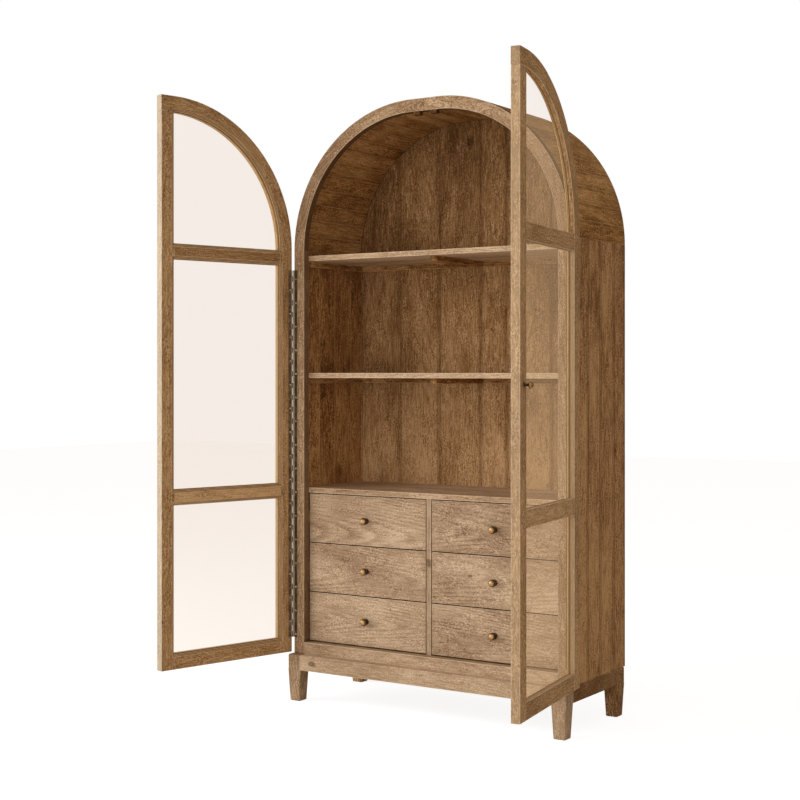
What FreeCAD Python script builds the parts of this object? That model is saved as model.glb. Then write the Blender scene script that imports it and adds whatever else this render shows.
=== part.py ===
import FreeCAD, Part
import math
import os

# A tall display cabinet in solid wood with an arched top: an open-fronted case on a low
# base with four tapered legs, two glazed doors that share the arch, two shelves and six
# drawers in two columns. Millimetres, X to the right, Y to the rear, Z up. The origin is
# on the floor at the centre of the base's outline. The doors stand open, the drawers shut.

Vec = FreeCAD.Vector
up = Vec(0, 0, 1)

# Case: the straight sides end at the spring line, where the arch begins.
case_width = 1118.0
case_depth = 422.0
spring_height = 1631.0
arch_flat = 112.0
side_thickness = 20.0
front_frame_width = 44.0
front_frame_depth = 30.0
back_thickness = 15.0
back_recess = 7.0
back_groove = 2.0
joint_gap = 0.3
board_thickness = 18.0
bottom_rail_height = 41.0

# Seams between the back boards, as shares of the inside width, from the middle.
back_seam_shares = (-0.334, -0.1725, -0.006, 0.0955, 0.264, 0.380)

# Inside: heights between the top faces of the shelves, going down from the spring line.
top_shelf_drop = 19.0
upper_bay = 426.0
lower_bay = 417.0
drawer_top_thickness = 19.0

# Shelf supports: a batten front to back at the middle, and cleats at the sides and rear.
batten_width = 25.0
batten_height = 20.0
batten_front = 30.0
cleat_width = 16.0
cleat_front = 14.0
cleat_bevel = 10.0

# Base: four legs with a frame of aprons flush between them.
base_height = 168.0
base_proud = 2.0
base_ledge = 35.0
base_rear_inset = 9.0
apron_height = 54.5
leg_top = 54.0
leg_foot = 42.0
foot_bevel = 2.0
leg_ease = 3.0
base_round = 5.0

# Doors: plain members around three panes each, all of one thickness.
door_thickness = 29.0
door_gap = 5.0
door_bottom_gap = 3.0
meeting_gap = 2.0
door_member = 54.0
door_cross_rail = 55.0
rebate_width = 12.0
glass_lip = 14.0
glass_thickness = 4.0
glass_play = 0.5
bead_depth = 10.0
left_door_angle_degrees = 105.1
right_door_angle_degrees = 98.5

# Continuous hinges: two leaves with interlocking knuckles on one long pin.
hinge_offset = 3.5
knuckle_radius = 3.8
pin_radius = 1.7
pin_clearance = 0.06
leaf_thickness = 1.6
frame_leaf_width = 13.0
door_leaf_width = 16.0
hinge_low_inset = 57.0
hinge_high_inset = 71.0
knuckle_count = 62
knuckle_gap = 0.8
knuckle_relief = 0.4

# Door furniture: a mushroom knob outside, a strike pin inside, catches under the arch.
door_knob_head = 23.0
door_knob_neck = 9.0
door_knob_rose = 17.0
door_knob_reach = 30.0
door_knob_edge = 30.0
door_knob_height = 1152.0
strike_diameter = 10.0
strike_plate = 15.0
strike_reach = 9.0
strike_edge = 33.0
strike_drop = 13.0
catch_width = 26.0
catch_height = 12.0
catch_depth = 20.5
catch_gap = 0.5

# Drawers: a front board with a box of the same width behind it, on side runners.
drawer_side_gap = 3.4
drawer_row_gap = 3.0
drawer_low_gap = 5.0
drawer_rows = 3
drawer_front_thickness = 18.0
drawer_side_thickness = 13.0
drawer_back_thickness = 12.0
drawer_bottom_thickness = 6.0
drawer_side_lift = 4.0
drawer_bottom_lift = 8.0
drawer_back_drop = 8.0
drawer_rear_space = 18.0
groove_height = 10.0
groove_depth = 6.5
runner_clearance = 0.3
runner_front_gap = 2.0
packer_height = 40.0
drawer_knob_ball = 25.0
drawer_knob_stem = 10.0
drawer_knob_plate = 22.0
drawer_knob_plate_thickness = 3.0
drawer_knob_reach = 30.0

# How far every cut runs past the face that it leaves.
cut_over = 5.0

# Places that follow from the sizes above.
case_half = case_width / 2
arch_centre = arch_flat / 2
arch_radius = case_half - arch_centre
total_height = spring_height + arch_radius
base_depth = base_ledge + case_depth - base_rear_inset
base_half_width = case_half + base_proud
base_front = -base_depth / 2
base_rear = base_depth / 2
case_front = base_front + base_ledge
case_rear = case_front + case_depth
frame_rear = case_front + front_frame_depth
back_rear = case_rear - back_recess
back_front = back_rear - back_thickness
inside_half = case_half - side_thickness
frame_inner = case_half - front_frame_width
top_shelf_height = spring_height - top_shelf_drop
middle_shelf_height = top_shelf_height - upper_bay
drawer_top_height = middle_shelf_height - lower_bay
drawer_bay_low = base_height + bottom_rail_height
drawer_bay_high = drawer_top_height - drawer_top_thickness
divider_half = board_thickness / 2

door_inner = case_front - door_gap
door_outer = door_inner - door_thickness
door_low = base_height + door_bottom_gap
door_edge = meeting_gap / 2
lower_rail_middle = drawer_top_height - drawer_top_thickness / 2
glass_front = door_outer + glass_lip
glass_rear = glass_front + glass_thickness
bead_rear = glass_rear + bead_depth
pin_x = case_half + hinge_offset
pin_y = case_front - door_gap / 2
hinge_low = base_height + hinge_low_inset
hinge_high = spring_height - hinge_high_inset
hinge_length = hinge_high - hinge_low
knuckle_pitch = hinge_length / knuckle_count

drawer_front_high = (
    drawer_bay_high - drawer_bay_low - drawer_low_gap - drawer_rows * drawer_row_gap
) / drawer_rows
drawer_face = frame_rear
drawer_box_front = drawer_face + drawer_front_thickness
drawer_rear = back_front - drawer_rear_space
drawer_outer_edge = frame_inner - drawer_side_gap
drawer_inner_edge = divider_half + drawer_side_gap


def block(x_a, x_b, y_a, y_b, z_a, z_b):
    # A box between two opposite corners, whichever is lower.
    low = Vec(min(x_a, x_b), min(y_a, y_b), min(z_a, z_b))
    return Part.makeBox(abs(x_b - x_a), abs(y_b - y_a), abs(z_b - z_a), low)


def prism(points, direction):
    # A flat outline of straight edges, drawn out along a direction.
    wire = Part.makePolygon(list(points) + [points[0]])
    return Part.Face(wire).extrude(direction)


def arch_block(inset, z_low, y_a, y_b):
    # The cabinet's front outline drawn in by an inset, from a height up, between two depths.
    half = case_half - inset
    radius = arch_radius - inset
    top = spring_height + radius
    diagonal = radius * math.sqrt(0.5)
    right_foot = Vec(half, y_a, spring_height)
    right_middle = Vec(arch_centre + diagonal, y_a, spring_height + diagonal)
    right_top = Vec(arch_centre, y_a, top)
    left_top = Vec(-arch_centre, y_a, top)
    left_middle = Vec(-arch_centre - diagonal, y_a, spring_height + diagonal)
    left_foot = Vec(-half, y_a, spring_height)
    edges = [
        Part.Arc(right_foot, right_middle, right_top).toShape(),
        Part.LineSegment(right_top, left_top).toShape(),
        Part.Arc(left_top, left_middle, left_foot).toShape(),
    ]
    corners = [left_foot]
    if z_low != spring_height:
        corners += [Vec(-half, y_a, z_low), Vec(half, y_a, z_low)]
    corners.append(right_foot)
    for start, end in zip(corners, corners[1:]):
        edges.append(Part.LineSegment(start, end).toShape())
    return Part.Face(Part.Wire(edges)).extrude(Vec(0, y_b - y_a, 0))


def arch_ring(width, y_a, y_b):
    # The band of the arch above the spring line.
    outer = arch_block(0, spring_height, y_a, y_b)
    inner = arch_block(width, spring_height - cut_over, y_a - cut_over, y_b + cut_over)
    return outer.cut(inner)


def turned(outline, reach, place, direction):
    # A turned piece: straight outline points of radius and height, then part of a sphere
    # that is centred on the axis and ends there, at the piece's full reach.
    axis_end = Vec(0, 0, reach)
    points = [Vec(0, 0, 0)] + [Vec(r, 0, h) for r, h in outline]
    edges = [Part.LineSegment(a, b).toShape() for a, b in zip(points, points[1:])]
    radius, height = outline[-1]
    rise = reach - height
    sphere = (rise * rise + radius * radius) / (2 * rise)
    half_angle = math.acos((height - reach + sphere) / sphere) / 2
    middle = Vec(sphere * math.sin(half_angle), 0, reach - sphere + sphere * math.cos(half_angle))
    edges.append(Part.Arc(points[-1], middle, axis_end).toShape())
    edges.append(Part.LineSegment(axis_end, points[0]).toShape())
    solid = Part.Face(Part.Wire(edges)).revolve(Vec(0, 0, 0), up, 360)
    solid.Placement = FreeCAD.Placement(place, FreeCAD.Rotation(up, direction))
    return solid


def edges_where(shape, test):
    return [edge for edge in shape.Edges if test(edge.CenterOfMass)]


def close(a, b):
    return abs(a - b) < cut_over * 0.001


def save(name, solids):
    if not isinstance(solids, list):
        solids = [solids]
    shape = solids[0] if len(solids) == 1 else Part.makeCompound(solids)
    shape.exportStep(os.path.join("parts", name + ".step"))
    print(name, len(shape.Solids), "solid(s)", round(shape.Volume / 1e3, 1), "cm3", shape.isValid())


# Base.

def rounded_square(x, y, half, radius, z):
    # A square of rounded corners at a height, for the tapering part of a leg.
    edges = []
    cut = radius * (1 - math.sqrt(0.5))
    for turn in range(4):
        angle = turn * math.pi / 2
        along = Vec(math.cos(angle), math.sin(angle), 0)
        across = Vec(-math.sin(angle), math.cos(angle), 0)
        middle = Vec(x, y, z)
        start = middle + along * half - across * (half - radius)
        end = middle + along * half + across * (half - radius)
        corner = middle + along * (half - cut) + across * (half - cut)
        following = middle + along * (half - radius) + across * half
        edges.append(Part.LineSegment(start, end).toShape())
        edges.append(Part.Arc(end, corner, following).toShape())
    return Part.Wire(edges)


def rounded_outside(shape):
    # Rounds the upper edges, and the upright corners, on the outside of the base.
    def outside(point):
        on_side = close(abs(point.x), base_half_width)
        on_end = close(abs(point.y), base_rear)
        on_top = close(point.z, base_height)
        return (on_side and on_end) or (on_top and (on_side or on_end))

    return shape.makeFillet(base_round, edges_where(shape, outside))


def make_leg(side, end):
    outer_x = side * base_half_width
    outer_y = end * base_rear
    inner_x = side * (base_half_width - leg_top)
    inner_y = end * (base_rear - leg_top)
    apron_low = base_height - apron_height
    head = rounded_outside(block(outer_x, inner_x, outer_y, inner_y, apron_low, base_height))
    middle_x = (outer_x + inner_x) / 2
    middle_y = (outer_y + inner_y) / 2
    foot = leg_foot / 2
    ease = leg_ease / 2
    sections = [
        rounded_square(middle_x, middle_y, foot - foot_bevel, ease, 0),
        rounded_square(middle_x, middle_y, foot, ease, foot_bevel),
        rounded_square(middle_x, middle_y, leg_top / 2, leg_ease, apron_low),
    ]
    taper = Part.makeLoft(sections, True, True)
    return head.fuse(taper).removeSplitter()


def make_front_apron():
    length = base_half_width - leg_top
    low = base_height - apron_height
    return rounded_outside(block(-length, length, base_front, base_front + leg_top, low, base_height))


def make_other_aprons():
    length = base_half_width - leg_top
    depth = base_rear - leg_top
    low = base_height - apron_height
    rear = block(-length, length, base_rear, depth, low, base_height)
    left = block(-base_half_width, -length, -depth, depth, low, base_height)
    right = block(base_half_width, length, -depth, depth, low, base_height)
    return [rounded_outside(apron) for apron in (left, right, rear)]


# Case.

def make_side_panel(side):
    return block(side * case_half, side * inside_half, frame_rear, case_rear, base_height, spring_height)


def make_vault():
    return arch_ring(side_thickness, frame_rear, case_rear)


def make_front_arch():
    return arch_ring(front_frame_width, case_front, frame_rear)


def make_front_stile(side):
    return block(side * case_half, side * frame_inner, case_front, frame_rear, base_height, spring_height)


def make_bottom_rail():
    return block(-frame_inner, frame_inner, case_front, frame_rear, base_height, drawer_bay_low)


def make_back_boards():
    # Upright boards between the sides, with a small V at each seam on the inside.
    panel = arch_block(side_thickness, base_height, back_front, back_rear)
    seams = [share * 2 * inside_half for share in back_seam_shares]
    edges = [-inside_half] + seams + [inside_half]
    rise = Vec(0, 0, total_height)
    boards = []
    for left, right in zip(edges, edges[1:]):
        inner_seams = [seam for seam in (left, right) if seam in seams]
        low = left + joint_gap / 2 if left in seams else left
        high = right - joint_gap / 2 if right in seams else right
        board = panel.common(block(low, high, back_front, back_rear, 0, total_height))
        for seam in inner_seams:
            groove = [
                Vec(seam - back_groove, back_front, 0),
                Vec(seam + back_groove, back_front, 0),
                Vec(seam, back_front + back_groove, 0),
            ]
            board = board.cut(prism(groove, rise))
        boards.append(board)
    return boards


def make_shelf(top, thickness):
    return block(-inside_half, inside_half, frame_rear, back_front, top - thickness, top)


def make_divider():
    return block(-divider_half, divider_half, frame_rear, back_front, drawer_bay_low, drawer_bay_high)


def make_shelf_supports():
    # Under each shelf: a batten with a sloping nose, two side cleats and two rear cleats.
    pieces = []
    for top in (top_shelf_height, middle_shelf_height):
        high = top - board_thickness
        low = high - batten_height
        pieces.append(sloping_batten(-batten_width / 2, batten_width, frame_rear + batten_front, low, high))
        cleat_y = frame_rear + cleat_front
        pieces.append(sloping_batten(-inside_half, cleat_width, cleat_y, low, high))
        pieces.append(sloping_batten(inside_half - cleat_width, cleat_width, cleat_y, low, high))
        for side in (-1, 1):
            inner = side * (batten_width / 2 + joint_gap)
            outer = side * (inside_half - cleat_width - joint_gap)
            pieces.append(block(inner, outer, back_front - cleat_width, back_front, low, high))
    return pieces


def sloping_batten(x, width, y, low, high):
    # A strip that runs to the back boards, its lower front corner cut to a slope.
    outline = [
        Vec(x, y, high),
        Vec(x, back_front, high),
        Vec(x, back_front, low),
        Vec(x, y + cleat_bevel, low),
        Vec(x, y, high - (batten_height - cleat_bevel)),
    ]
    return prism(outline, Vec(width, 0, 0))


def row_low(row):
    return drawer_bay_low + drawer_low_gap + row * (drawer_front_high + drawer_row_gap)


def runner_middle(row):
    return row_low(row) + drawer_front_high / 2


def make_drawer_runners():
    # One runner for each side of each drawer: a tongue that enters the groove in the box.
    # The outer ones stand on a packer that fills the space behind the front stile.
    pieces = []
    for row in range(drawer_rows):
        middle = runner_middle(row)
        tongue = groove_height / 2 - runner_clearance
        entry = groove_depth - runner_clearance
        start = drawer_box_front + runner_front_gap
        for side in (-1, 1):
            packer = block(
                side * inside_half, side * frame_inner, frame_rear, back_front,
                middle - packer_height / 2, middle + packer_height / 2,
            )
            outer = block(
                side * frame_inner, side * (drawer_outer_edge - entry), start, back_front,
                middle - tongue, middle + tongue,
            )
            inner = block(
                side * divider_half, side * (drawer_inner_edge + entry), start, back_front,
                middle - tongue, middle + tongue,
            )
            pieces.append(packer.fuse(outer).removeSplitter())
            pieces.append(inner)
    return pieces


# Doors, made shut and then swung open about their hinge pins.

def swing(shape, side):
    angle = -left_door_angle_degrees if side < 0 else right_door_angle_degrees
    shape.rotate(Vec(side * pin_x, pin_y, 0), up, angle)
    return shape


def pane_limits():
    # Lower and upper heights of the two panes with straight edges.
    return [
        (door_low + door_member, lower_rail_middle - door_cross_rail / 2),
        (lower_rail_middle + door_cross_rail / 2, spring_height - door_cross_rail),
    ]


def pane_blocks(side, grow, y_a, y_b):
    # The three openings of a door, grown outwards all round, between two depths.
    outer = case_half - door_member + grow
    inner = door_edge + door_member - grow
    blocks = []
    for low, high in pane_limits():
        blocks.append(block(side * outer, side * inner, y_a, y_b, low - grow, high + grow))
    arch = arch_block(door_member - grow, spring_height - grow, y_a, y_b)
    half = block(side * inner, side * case_width, y_a, y_b, 0, total_height)
    blocks.append(arch.common(half))
    return blocks


def rebated(shape, side):
    # Takes the rebate for glass and beads out of a member, from the inner face.
    for pocket in pane_blocks(side, rebate_width, glass_front, door_inner + cut_over):
        shape = shape.cut(pocket)
    return shape


def make_hinge_stile(side):
    bar = block(
        side * case_half, side * (case_half - door_member), door_outer, door_inner,
        door_low, spring_height,
    )
    return swing(rebated(bar, side), side)


def make_meeting_stile(side):
    # It ends under the arch rail, which runs over it to the meeting edge.
    bar = block(
        side * door_edge, side * (door_edge + door_member), door_outer, door_inner,
        door_low, total_height - door_member,
    )
    return swing(rebated(bar, side), side)


def make_arch_rail(side):
    ring = arch_ring(door_member, door_outer, door_inner)
    half = block(
        side * door_edge, side * case_width, door_outer, door_inner, spring_height,
        total_height + cut_over,
    )
    return swing(rebated(ring.common(half), side), side)


def make_cross_rails(side):
    outer = side * (case_half - door_member)
    inner = side * (door_edge + door_member)
    half = door_cross_rail / 2
    spans = [
        (door_low, door_low + door_member),
        (lower_rail_middle - half, lower_rail_middle + half),
        (spring_height - door_cross_rail, spring_height),
    ]
    rails = []
    for low, high in spans:
        rail = block(outer, inner, door_outer, door_inner, low, high)
        rails.append(swing(rebated(rail, side), side))
    return rails


def make_glass(side):
    panes = pane_blocks(side, rebate_width - glass_play, glass_front, glass_rear)
    return [swing(pane, side) for pane in panes]


def make_beads(side):
    outer = pane_blocks(side, rebate_width, glass_rear, bead_rear)
    inner = pane_blocks(side, 0, glass_rear - cut_over, bead_rear + cut_over)
    return [swing(whole.cut(hole), side) for whole, hole in zip(outer, inner)]


def make_door_knob(side):
    head = door_knob_head / 2
    neck = door_knob_neck / 2
    rose = door_knob_rose / 2
    # Heights along the knob, as shares of its reach.
    rose_share, flare_share, under_share, rim_share = 0.08, 0.16, 0.52, 0.68
    outline = [
        (rose, 0),
        (rose, door_knob_reach * rose_share),
        (neck, door_knob_reach * flare_share),
        (neck, door_knob_reach * under_share),
        (head, door_knob_reach * rim_share),
    ]
    place = Vec(side * (door_edge + door_knob_edge), door_outer, door_knob_height)
    return swing(turned(outline, door_knob_reach, place, Vec(0, -1, 0)), side)


def make_strike(side):
    height = total_height - front_frame_width - strike_drop
    place = Vec(side * (door_edge + strike_edge), door_inner, height)
    plate = Part.makeCylinder(strike_plate / 2, leaf_thickness, place, Vec(0, 1, 0))
    pin = Part.makeCylinder(strike_diameter / 2, strike_reach, place, Vec(0, 1, 0))
    return swing(plate.fuse(pin).removeSplitter(), side)


def make_catches():
    high = total_height - front_frame_width
    front = door_inner + strike_reach + catch_gap
    pieces = []
    for side in (-1, 1):
        middle = side * (door_edge + strike_edge)
        pieces.append(block(
            middle - catch_width / 2, middle + catch_width / 2, front, front + catch_depth,
            high - catch_height, high,
        ))
    return pieces


def knuckle_comb(side, parity):
    # The spaces that a leaf leaves free for the other leaf's knuckles.
    inner = side * (pin_x - knuckle_radius - knuckle_relief)
    outer = side * (pin_x + knuckle_radius + cut_over)
    spaces = []
    for index in range(knuckle_count):
        if index % 2 == parity:
            continue
        low = hinge_low + index * knuckle_pitch - knuckle_gap / 2
        high = hinge_low + (index + 1) * knuckle_pitch + knuckle_gap / 2
        if index == 0:
            low -= cut_over
        if index == knuckle_count - 1:
            high += cut_over
        spaces.append(block(inner, outer, pin_y - cut_over, pin_y + cut_over, low, high))
    return Part.makeCompound(spaces)


def make_leaf(side, parity, width, y_a, y_b):
    # A flat leaf that runs into a long barrel round the pin, cut into knuckles.
    centre = Vec(side * pin_x, pin_y, hinge_low)
    barrel = Part.makeCylinder(knuckle_radius, hinge_length, centre, up)
    root = side * (pin_x - (pin_radius + knuckle_radius) / 2)
    plate = block(root, side * (case_half - width), y_a, y_b, hinge_low, hinge_high)
    start = centre - up * cut_over
    bore = Part.makeCylinder(pin_radius + pin_clearance, hinge_length + 2 * cut_over, start, up)
    return barrel.fuse(plate).cut(bore).cut(knuckle_comb(side, parity)).removeSplitter()


def make_frame_leaf(side):
    return make_leaf(side, 0, frame_leaf_width, case_front - leaf_thickness, case_front)


def make_door_leaf(side):
    leaf = make_leaf(side, 1, door_leaf_width, door_inner, door_inner + leaf_thickness)
    pin = Part.makeCylinder(pin_radius, hinge_length, Vec(side * pin_x, pin_y, hinge_low), up)
    return [swing(leaf, side), swing(pin, side)]


# Drawers.

def make_drawer_front(side, row):
    low = row_low(row)
    return block(
        side * drawer_outer_edge, side * drawer_inner_edge, drawer_face, drawer_box_front,
        low, low + drawer_front_high,
    )


def make_drawer_box(side, row):
    low = row_low(row) + drawer_side_lift
    high = row_low(row) + drawer_front_high
    middle = runner_middle(row)
    outer = side * drawer_outer_edge
    inner = side * drawer_inner_edge
    toward = -side
    boards = []
    for edge, way in ((outer, toward), (inner, -toward)):
        board = block(edge, edge + way * drawer_side_thickness, drawer_box_front, drawer_rear, low, high)
        groove = block(
            edge - way * cut_over, edge + way * groove_depth, drawer_box_front,
            drawer_rear + cut_over, middle - groove_height / 2, middle + groove_height / 2,
        )
        boards.append(board.cut(groove))
    left = outer + toward * (drawer_side_thickness + joint_gap)
    right = inner - toward * (drawer_side_thickness + joint_gap)
    floor_low = low + drawer_bottom_lift
    floor_high = floor_low + drawer_bottom_thickness
    floor = block(left, right, drawer_box_front, drawer_rear, floor_low, floor_high)
    back = block(
        left, right, drawer_rear - drawer_back_thickness, drawer_rear,
        floor_high + joint_gap, high - drawer_back_drop,
    )
    return boards + [floor, back]


def make_drawer_knob(side, row):
    ball = drawer_knob_ball / 2
    stem = drawer_knob_stem / 2
    plate = drawer_knob_plate / 2
    centre = drawer_knob_reach - ball
    outline = [
        (plate, 0),
        (plate, drawer_knob_plate_thickness),
        (stem, drawer_knob_plate_thickness),
        (stem, centre - math.sqrt(ball * ball - stem * stem)),
    ]
    middle_x = side * (drawer_outer_edge + drawer_inner_edge) / 2
    place = Vec(middle_x, drawer_face, runner_middle(row))
    return turned(outline, drawer_knob_reach, place, Vec(0, -1, 0))


def main():
    os.makedirs("parts", exist_ok=True)
    sides = {"left": -1, "right": 1}
    ends = {"front": -1, "rear": 1}
    rows = {"lower": 0, "middle": 1, "upper": 2}

    for end_name, end in ends.items():
        for side_name, side in sides.items():
            save("leg_" + end_name + "_" + side_name, make_leg(side, end))
    save("front_apron", make_front_apron())
    save("side_and_rear_aprons", make_other_aprons())

    save("vault", make_vault())
    save("front_arch", make_front_arch())
    save("bottom_rail", make_bottom_rail())
    save("back_boards", make_back_boards())
    save("bottom_board", make_shelf(drawer_bay_low, board_thickness))
    save("top_shelf", make_shelf(top_shelf_height, board_thickness))
    save("middle_shelf", make_shelf(middle_shelf_height, board_thickness))
    save("drawer_case_top", make_shelf(drawer_top_height, drawer_top_thickness))
    save("drawer_divider", make_divider())
    save("shelf_supports", make_shelf_supports())
    save("drawer_runners", make_drawer_runners())
    save("door_catches", make_catches())

    for name, side in sides.items():
        save(name + "_side_panel", make_side_panel(side))
        save(name + "_front_stile", make_front_stile(side))
        save(name + "_hinge_frame_leaf", make_frame_leaf(side))
        save(name + "_door_hinge_stile", make_hinge_stile(side))
        save(name + "_door_meeting_stile", make_meeting_stile(side))
        save(name + "_door_arch_rail", make_arch_rail(side))
        save(name + "_door_cross_rails", make_cross_rails(side))
        save(name + "_door_glass", make_glass(side))
        save(name + "_door_glazing_beads", make_beads(side))
        save(name + "_door_knob", make_door_knob(side))
        save(name + "_door_strike", make_strike(side))
        save(name + "_door_hinge_leaf", make_door_leaf(side))
        for row_name, row in rows.items():
            drawer = "drawer_" + name + "_" + row_name
            save(drawer + "_front", make_drawer_front(side, row))
            save(drawer + "_box", make_drawer_box(side, row))
            save(drawer + "_knob", make_drawer_knob(side, row))


main()
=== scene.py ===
import bpy
import bmesh
import math
import random
from mathutils import Matrix, Vector


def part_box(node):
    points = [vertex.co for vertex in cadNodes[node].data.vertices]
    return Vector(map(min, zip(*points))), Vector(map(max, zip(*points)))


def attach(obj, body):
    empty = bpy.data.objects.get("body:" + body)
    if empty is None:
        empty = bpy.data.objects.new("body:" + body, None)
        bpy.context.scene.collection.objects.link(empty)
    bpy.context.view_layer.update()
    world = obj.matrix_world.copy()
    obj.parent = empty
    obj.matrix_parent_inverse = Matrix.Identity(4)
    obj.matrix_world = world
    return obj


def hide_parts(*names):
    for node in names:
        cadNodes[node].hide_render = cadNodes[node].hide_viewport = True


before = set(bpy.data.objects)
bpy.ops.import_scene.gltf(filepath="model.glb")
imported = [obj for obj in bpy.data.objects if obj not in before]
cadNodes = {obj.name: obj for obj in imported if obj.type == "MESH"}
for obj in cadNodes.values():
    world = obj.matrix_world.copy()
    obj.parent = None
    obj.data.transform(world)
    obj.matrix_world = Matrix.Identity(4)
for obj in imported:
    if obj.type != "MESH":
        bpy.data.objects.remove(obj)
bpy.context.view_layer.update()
dice = random.Random(21)
print("frame loaded,", len(cadNodes), "nodes")

# The cabinet's own sizes, in metres, as the frame has them.
cabinet = {
    "caseHalf": 0.559, "spring": 1.631, "archCentre": 0.056, "archRadius": 0.503,
    "caseFront": -0.189, "frameRear": -0.159, "caseRear": 0.233,
    "sideThickness": 0.020, "frontFrame": 0.044,
    "doorOuter": -0.223, "doorInner": -0.194, "doorEdge": 0.001, "doorMember": 0.054,
    "doorLow": 0.171, "crossRail": 0.055, "lowerRailMiddle": 0.7595,
    "rebate": 0.012, "glassFront": -0.209, "glassRear": -0.205, "beadRear": -0.195,
    "pinX": 0.5625, "pinY": -0.1915, "leftSwing": -105.1, "rightSwing": 98.5,
}


def mm(size):
    return size / 1000


def addObject(name, data):
    made = bpy.data.objects.new(name, data)
    bpy.context.scene.collection.objects.link(made)
    return made


# Small helpers for node trees.

def put(tree, kind, links=None, **settings):
    made = tree.nodes.new(kind)
    for key, value in settings.items():
        setattr(made, key, value)
    for key, value in (links or {}).items():
        socket = made.inputs[key]
        if isinstance(value, bpy.types.NodeSocket):
            tree.links.new(value, socket)
        else:
            socket.default_value = value
    return made


def calc(tree, operation, *values, clamp=False):
    made = put(tree, "ShaderNodeMath", dict(enumerate(values)), operation=operation, use_clamp=clamp)
    return made.outputs[0]


def times(tree, first, second):
    return calc(tree, "MULTIPLY", first, second)


def minus(tree, first, second):
    return calc(tree, "SUBTRACT", first, second)


def plus(tree, base, part, share, clamp=False):
    # A value with a share of another one added.
    return calc(tree, "MULTIPLY_ADD", part, share, base, clamp=clamp)


def far(tree, x, y):
    # How far a place in a plane lies from its origin.
    return calc(tree, "SQRT", calc(tree, "MULTIPLY_ADD", x, x, times(tree, y, y)))


def vectorCalc(tree, operation, *values):
    made = put(tree, "ShaderNodeVectorMath", dict(enumerate(values)), operation=operation)
    return made.outputs["Vector"]


def split(tree, vector):
    return put(tree, "ShaderNodeSeparateXYZ", {0: vector}).outputs


def join(tree, x, y, z):
    return put(tree, "ShaderNodeCombineXYZ", {0: x, 1: y, 2: z}).outputs[0]


def blend(tree, factor, first, second):
    made = put(tree, "ShaderNodeMix", {0: factor, 6: first, 7: second}, data_type="RGBA")
    return made.outputs[2]


def remap(tree, value, low, high, start=0.0, end=1.0):
    made = put(tree, "ShaderNodeMapRange", {0: value, 1: low, 2: high, 3: start, 4: end},
               interpolation_type="SMOOTHSTEP")
    return made.outputs[0]


def noiseOf(tree, place, stretch, detail=2.0, roughness=0.5, distortion=0.0):
    scaled = vectorCalc(tree, "MULTIPLY", place, stretch)
    made = put(tree, "ShaderNodeTexNoise", {
        "Vector": scaled, "Scale": 1.0, "Detail": detail, "Roughness": roughness, "Distortion": distortion})
    return made.outputs[0]


def objectPlace(tree):
    return put(tree, "ShaderNodeTexCoord").outputs["Object"]


def paint(*colour):
    # A colour written as it is seen, 0 to 255.
    linear = [(c / 255 / 12.92) if c <= 10 else ((c / 255 + 0.055) / 1.055) ** 2.4 for c in colour]
    return (*linear, 1.0)


def coat(tree, colour, mask, strength, seen):
    # Lays a seen colour over another one where the mask is.
    return blend(tree, times(tree, mask, strength), colour, paint(*seen))


def newMaterial(name):
    material = bpy.data.materials.new(name)
    material.use_nodes = True
    material.node_tree.nodes.clear()
    return material, material.node_tree


def finishMaterial(tree, settings):
    shader = put(tree, "ShaderNodeBsdfPrincipled", settings)
    put(tree, "ShaderNodeOutputMaterial", {0: shader.outputs[0]})


# Stained wood. Each layer of noise has the way it lies, how often it repeats in a metre along, across
# and through the board, its detail, its roughness and its distortion.

woodNoises = {
    "knotRim": ("straight", (60, 60, 60), 2), "sway": ("straight", (2.2, 6, 6), 2),
    "ripple": ("straight", (16, 34, 34), 2), "ringFade": ("straight", (4, 11, 11), 2),
    "clouds": ("straight", (2.8, 7, 7), 4, 0.6, 0.4), "sweeps": ("aslant", (6, 22, 22), 3, 0.6, 0.3),
    "streaks": ("straight", (5, 85, 85), 3, 0.6, 0.2), "lines": ("straight", (20, 210, 210), 3, 0.6, 0.3),
    "fibres": ("straight", (28, 420, 420), 2, 0.6), "speckle": ("straight", (150, 260, 260), 2, 0.62),
    "patchy": ("straight", (14, 22, 22), 2), "pores": ("straight", (45, 400, 400), 2),
    "flecks": ("straight", (165, 260, 260), 2, 0.6), "soot": ("aslant", (4, 9, 9), 4, 0.72, 0.6),
    "sootGrain": ("straight", (90, 150, 150), 2), "scuffs": ("aslant", (6, 17, 17), 4, 0.7),
    "scuffGrain": ("straight", (80, 230, 230), 3, 0.7), "ragged": ("straight", (38, 110, 110), 3, 0.7),
}
woodMasks = {
    "ringFade": (0.36, 0.66, 0.05, 1.0), "patchy": (0.34, 0.66, 0.45, 1.25), "pores": (0.58, 0.70),
    "flecks": (0.60, 0.72), "sootGrain": (0.25, 0.62, 0.45, 1.0), "scuffs": (0.54, 0.72),
    "scuffGrain": (0.44, 0.60),
}
woodFigure = {
    "seedShifts": (61.0, 37.0, 23.0), "slant": (0.9, -0.45), "heartSpread": 0.10,
    "ringRise": (0.0, 0.62), "ringFall": (0.80, 1.0),
    "knotLength": 0.62, "knotRim": 0.9, "knotReach": -0.22, "knotCore": (1.15, 0.55), "knotPull": -0.02,
    "knotRings": 3.4, "knotRingMask": (0.2, 0.9, 0.55, 1.0), "knotDepth": 0.85, "smallestKnot": 0.00001,
    "sootSoftness": 0.18, "rampEnds": (0.08, 0.92),
}
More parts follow.
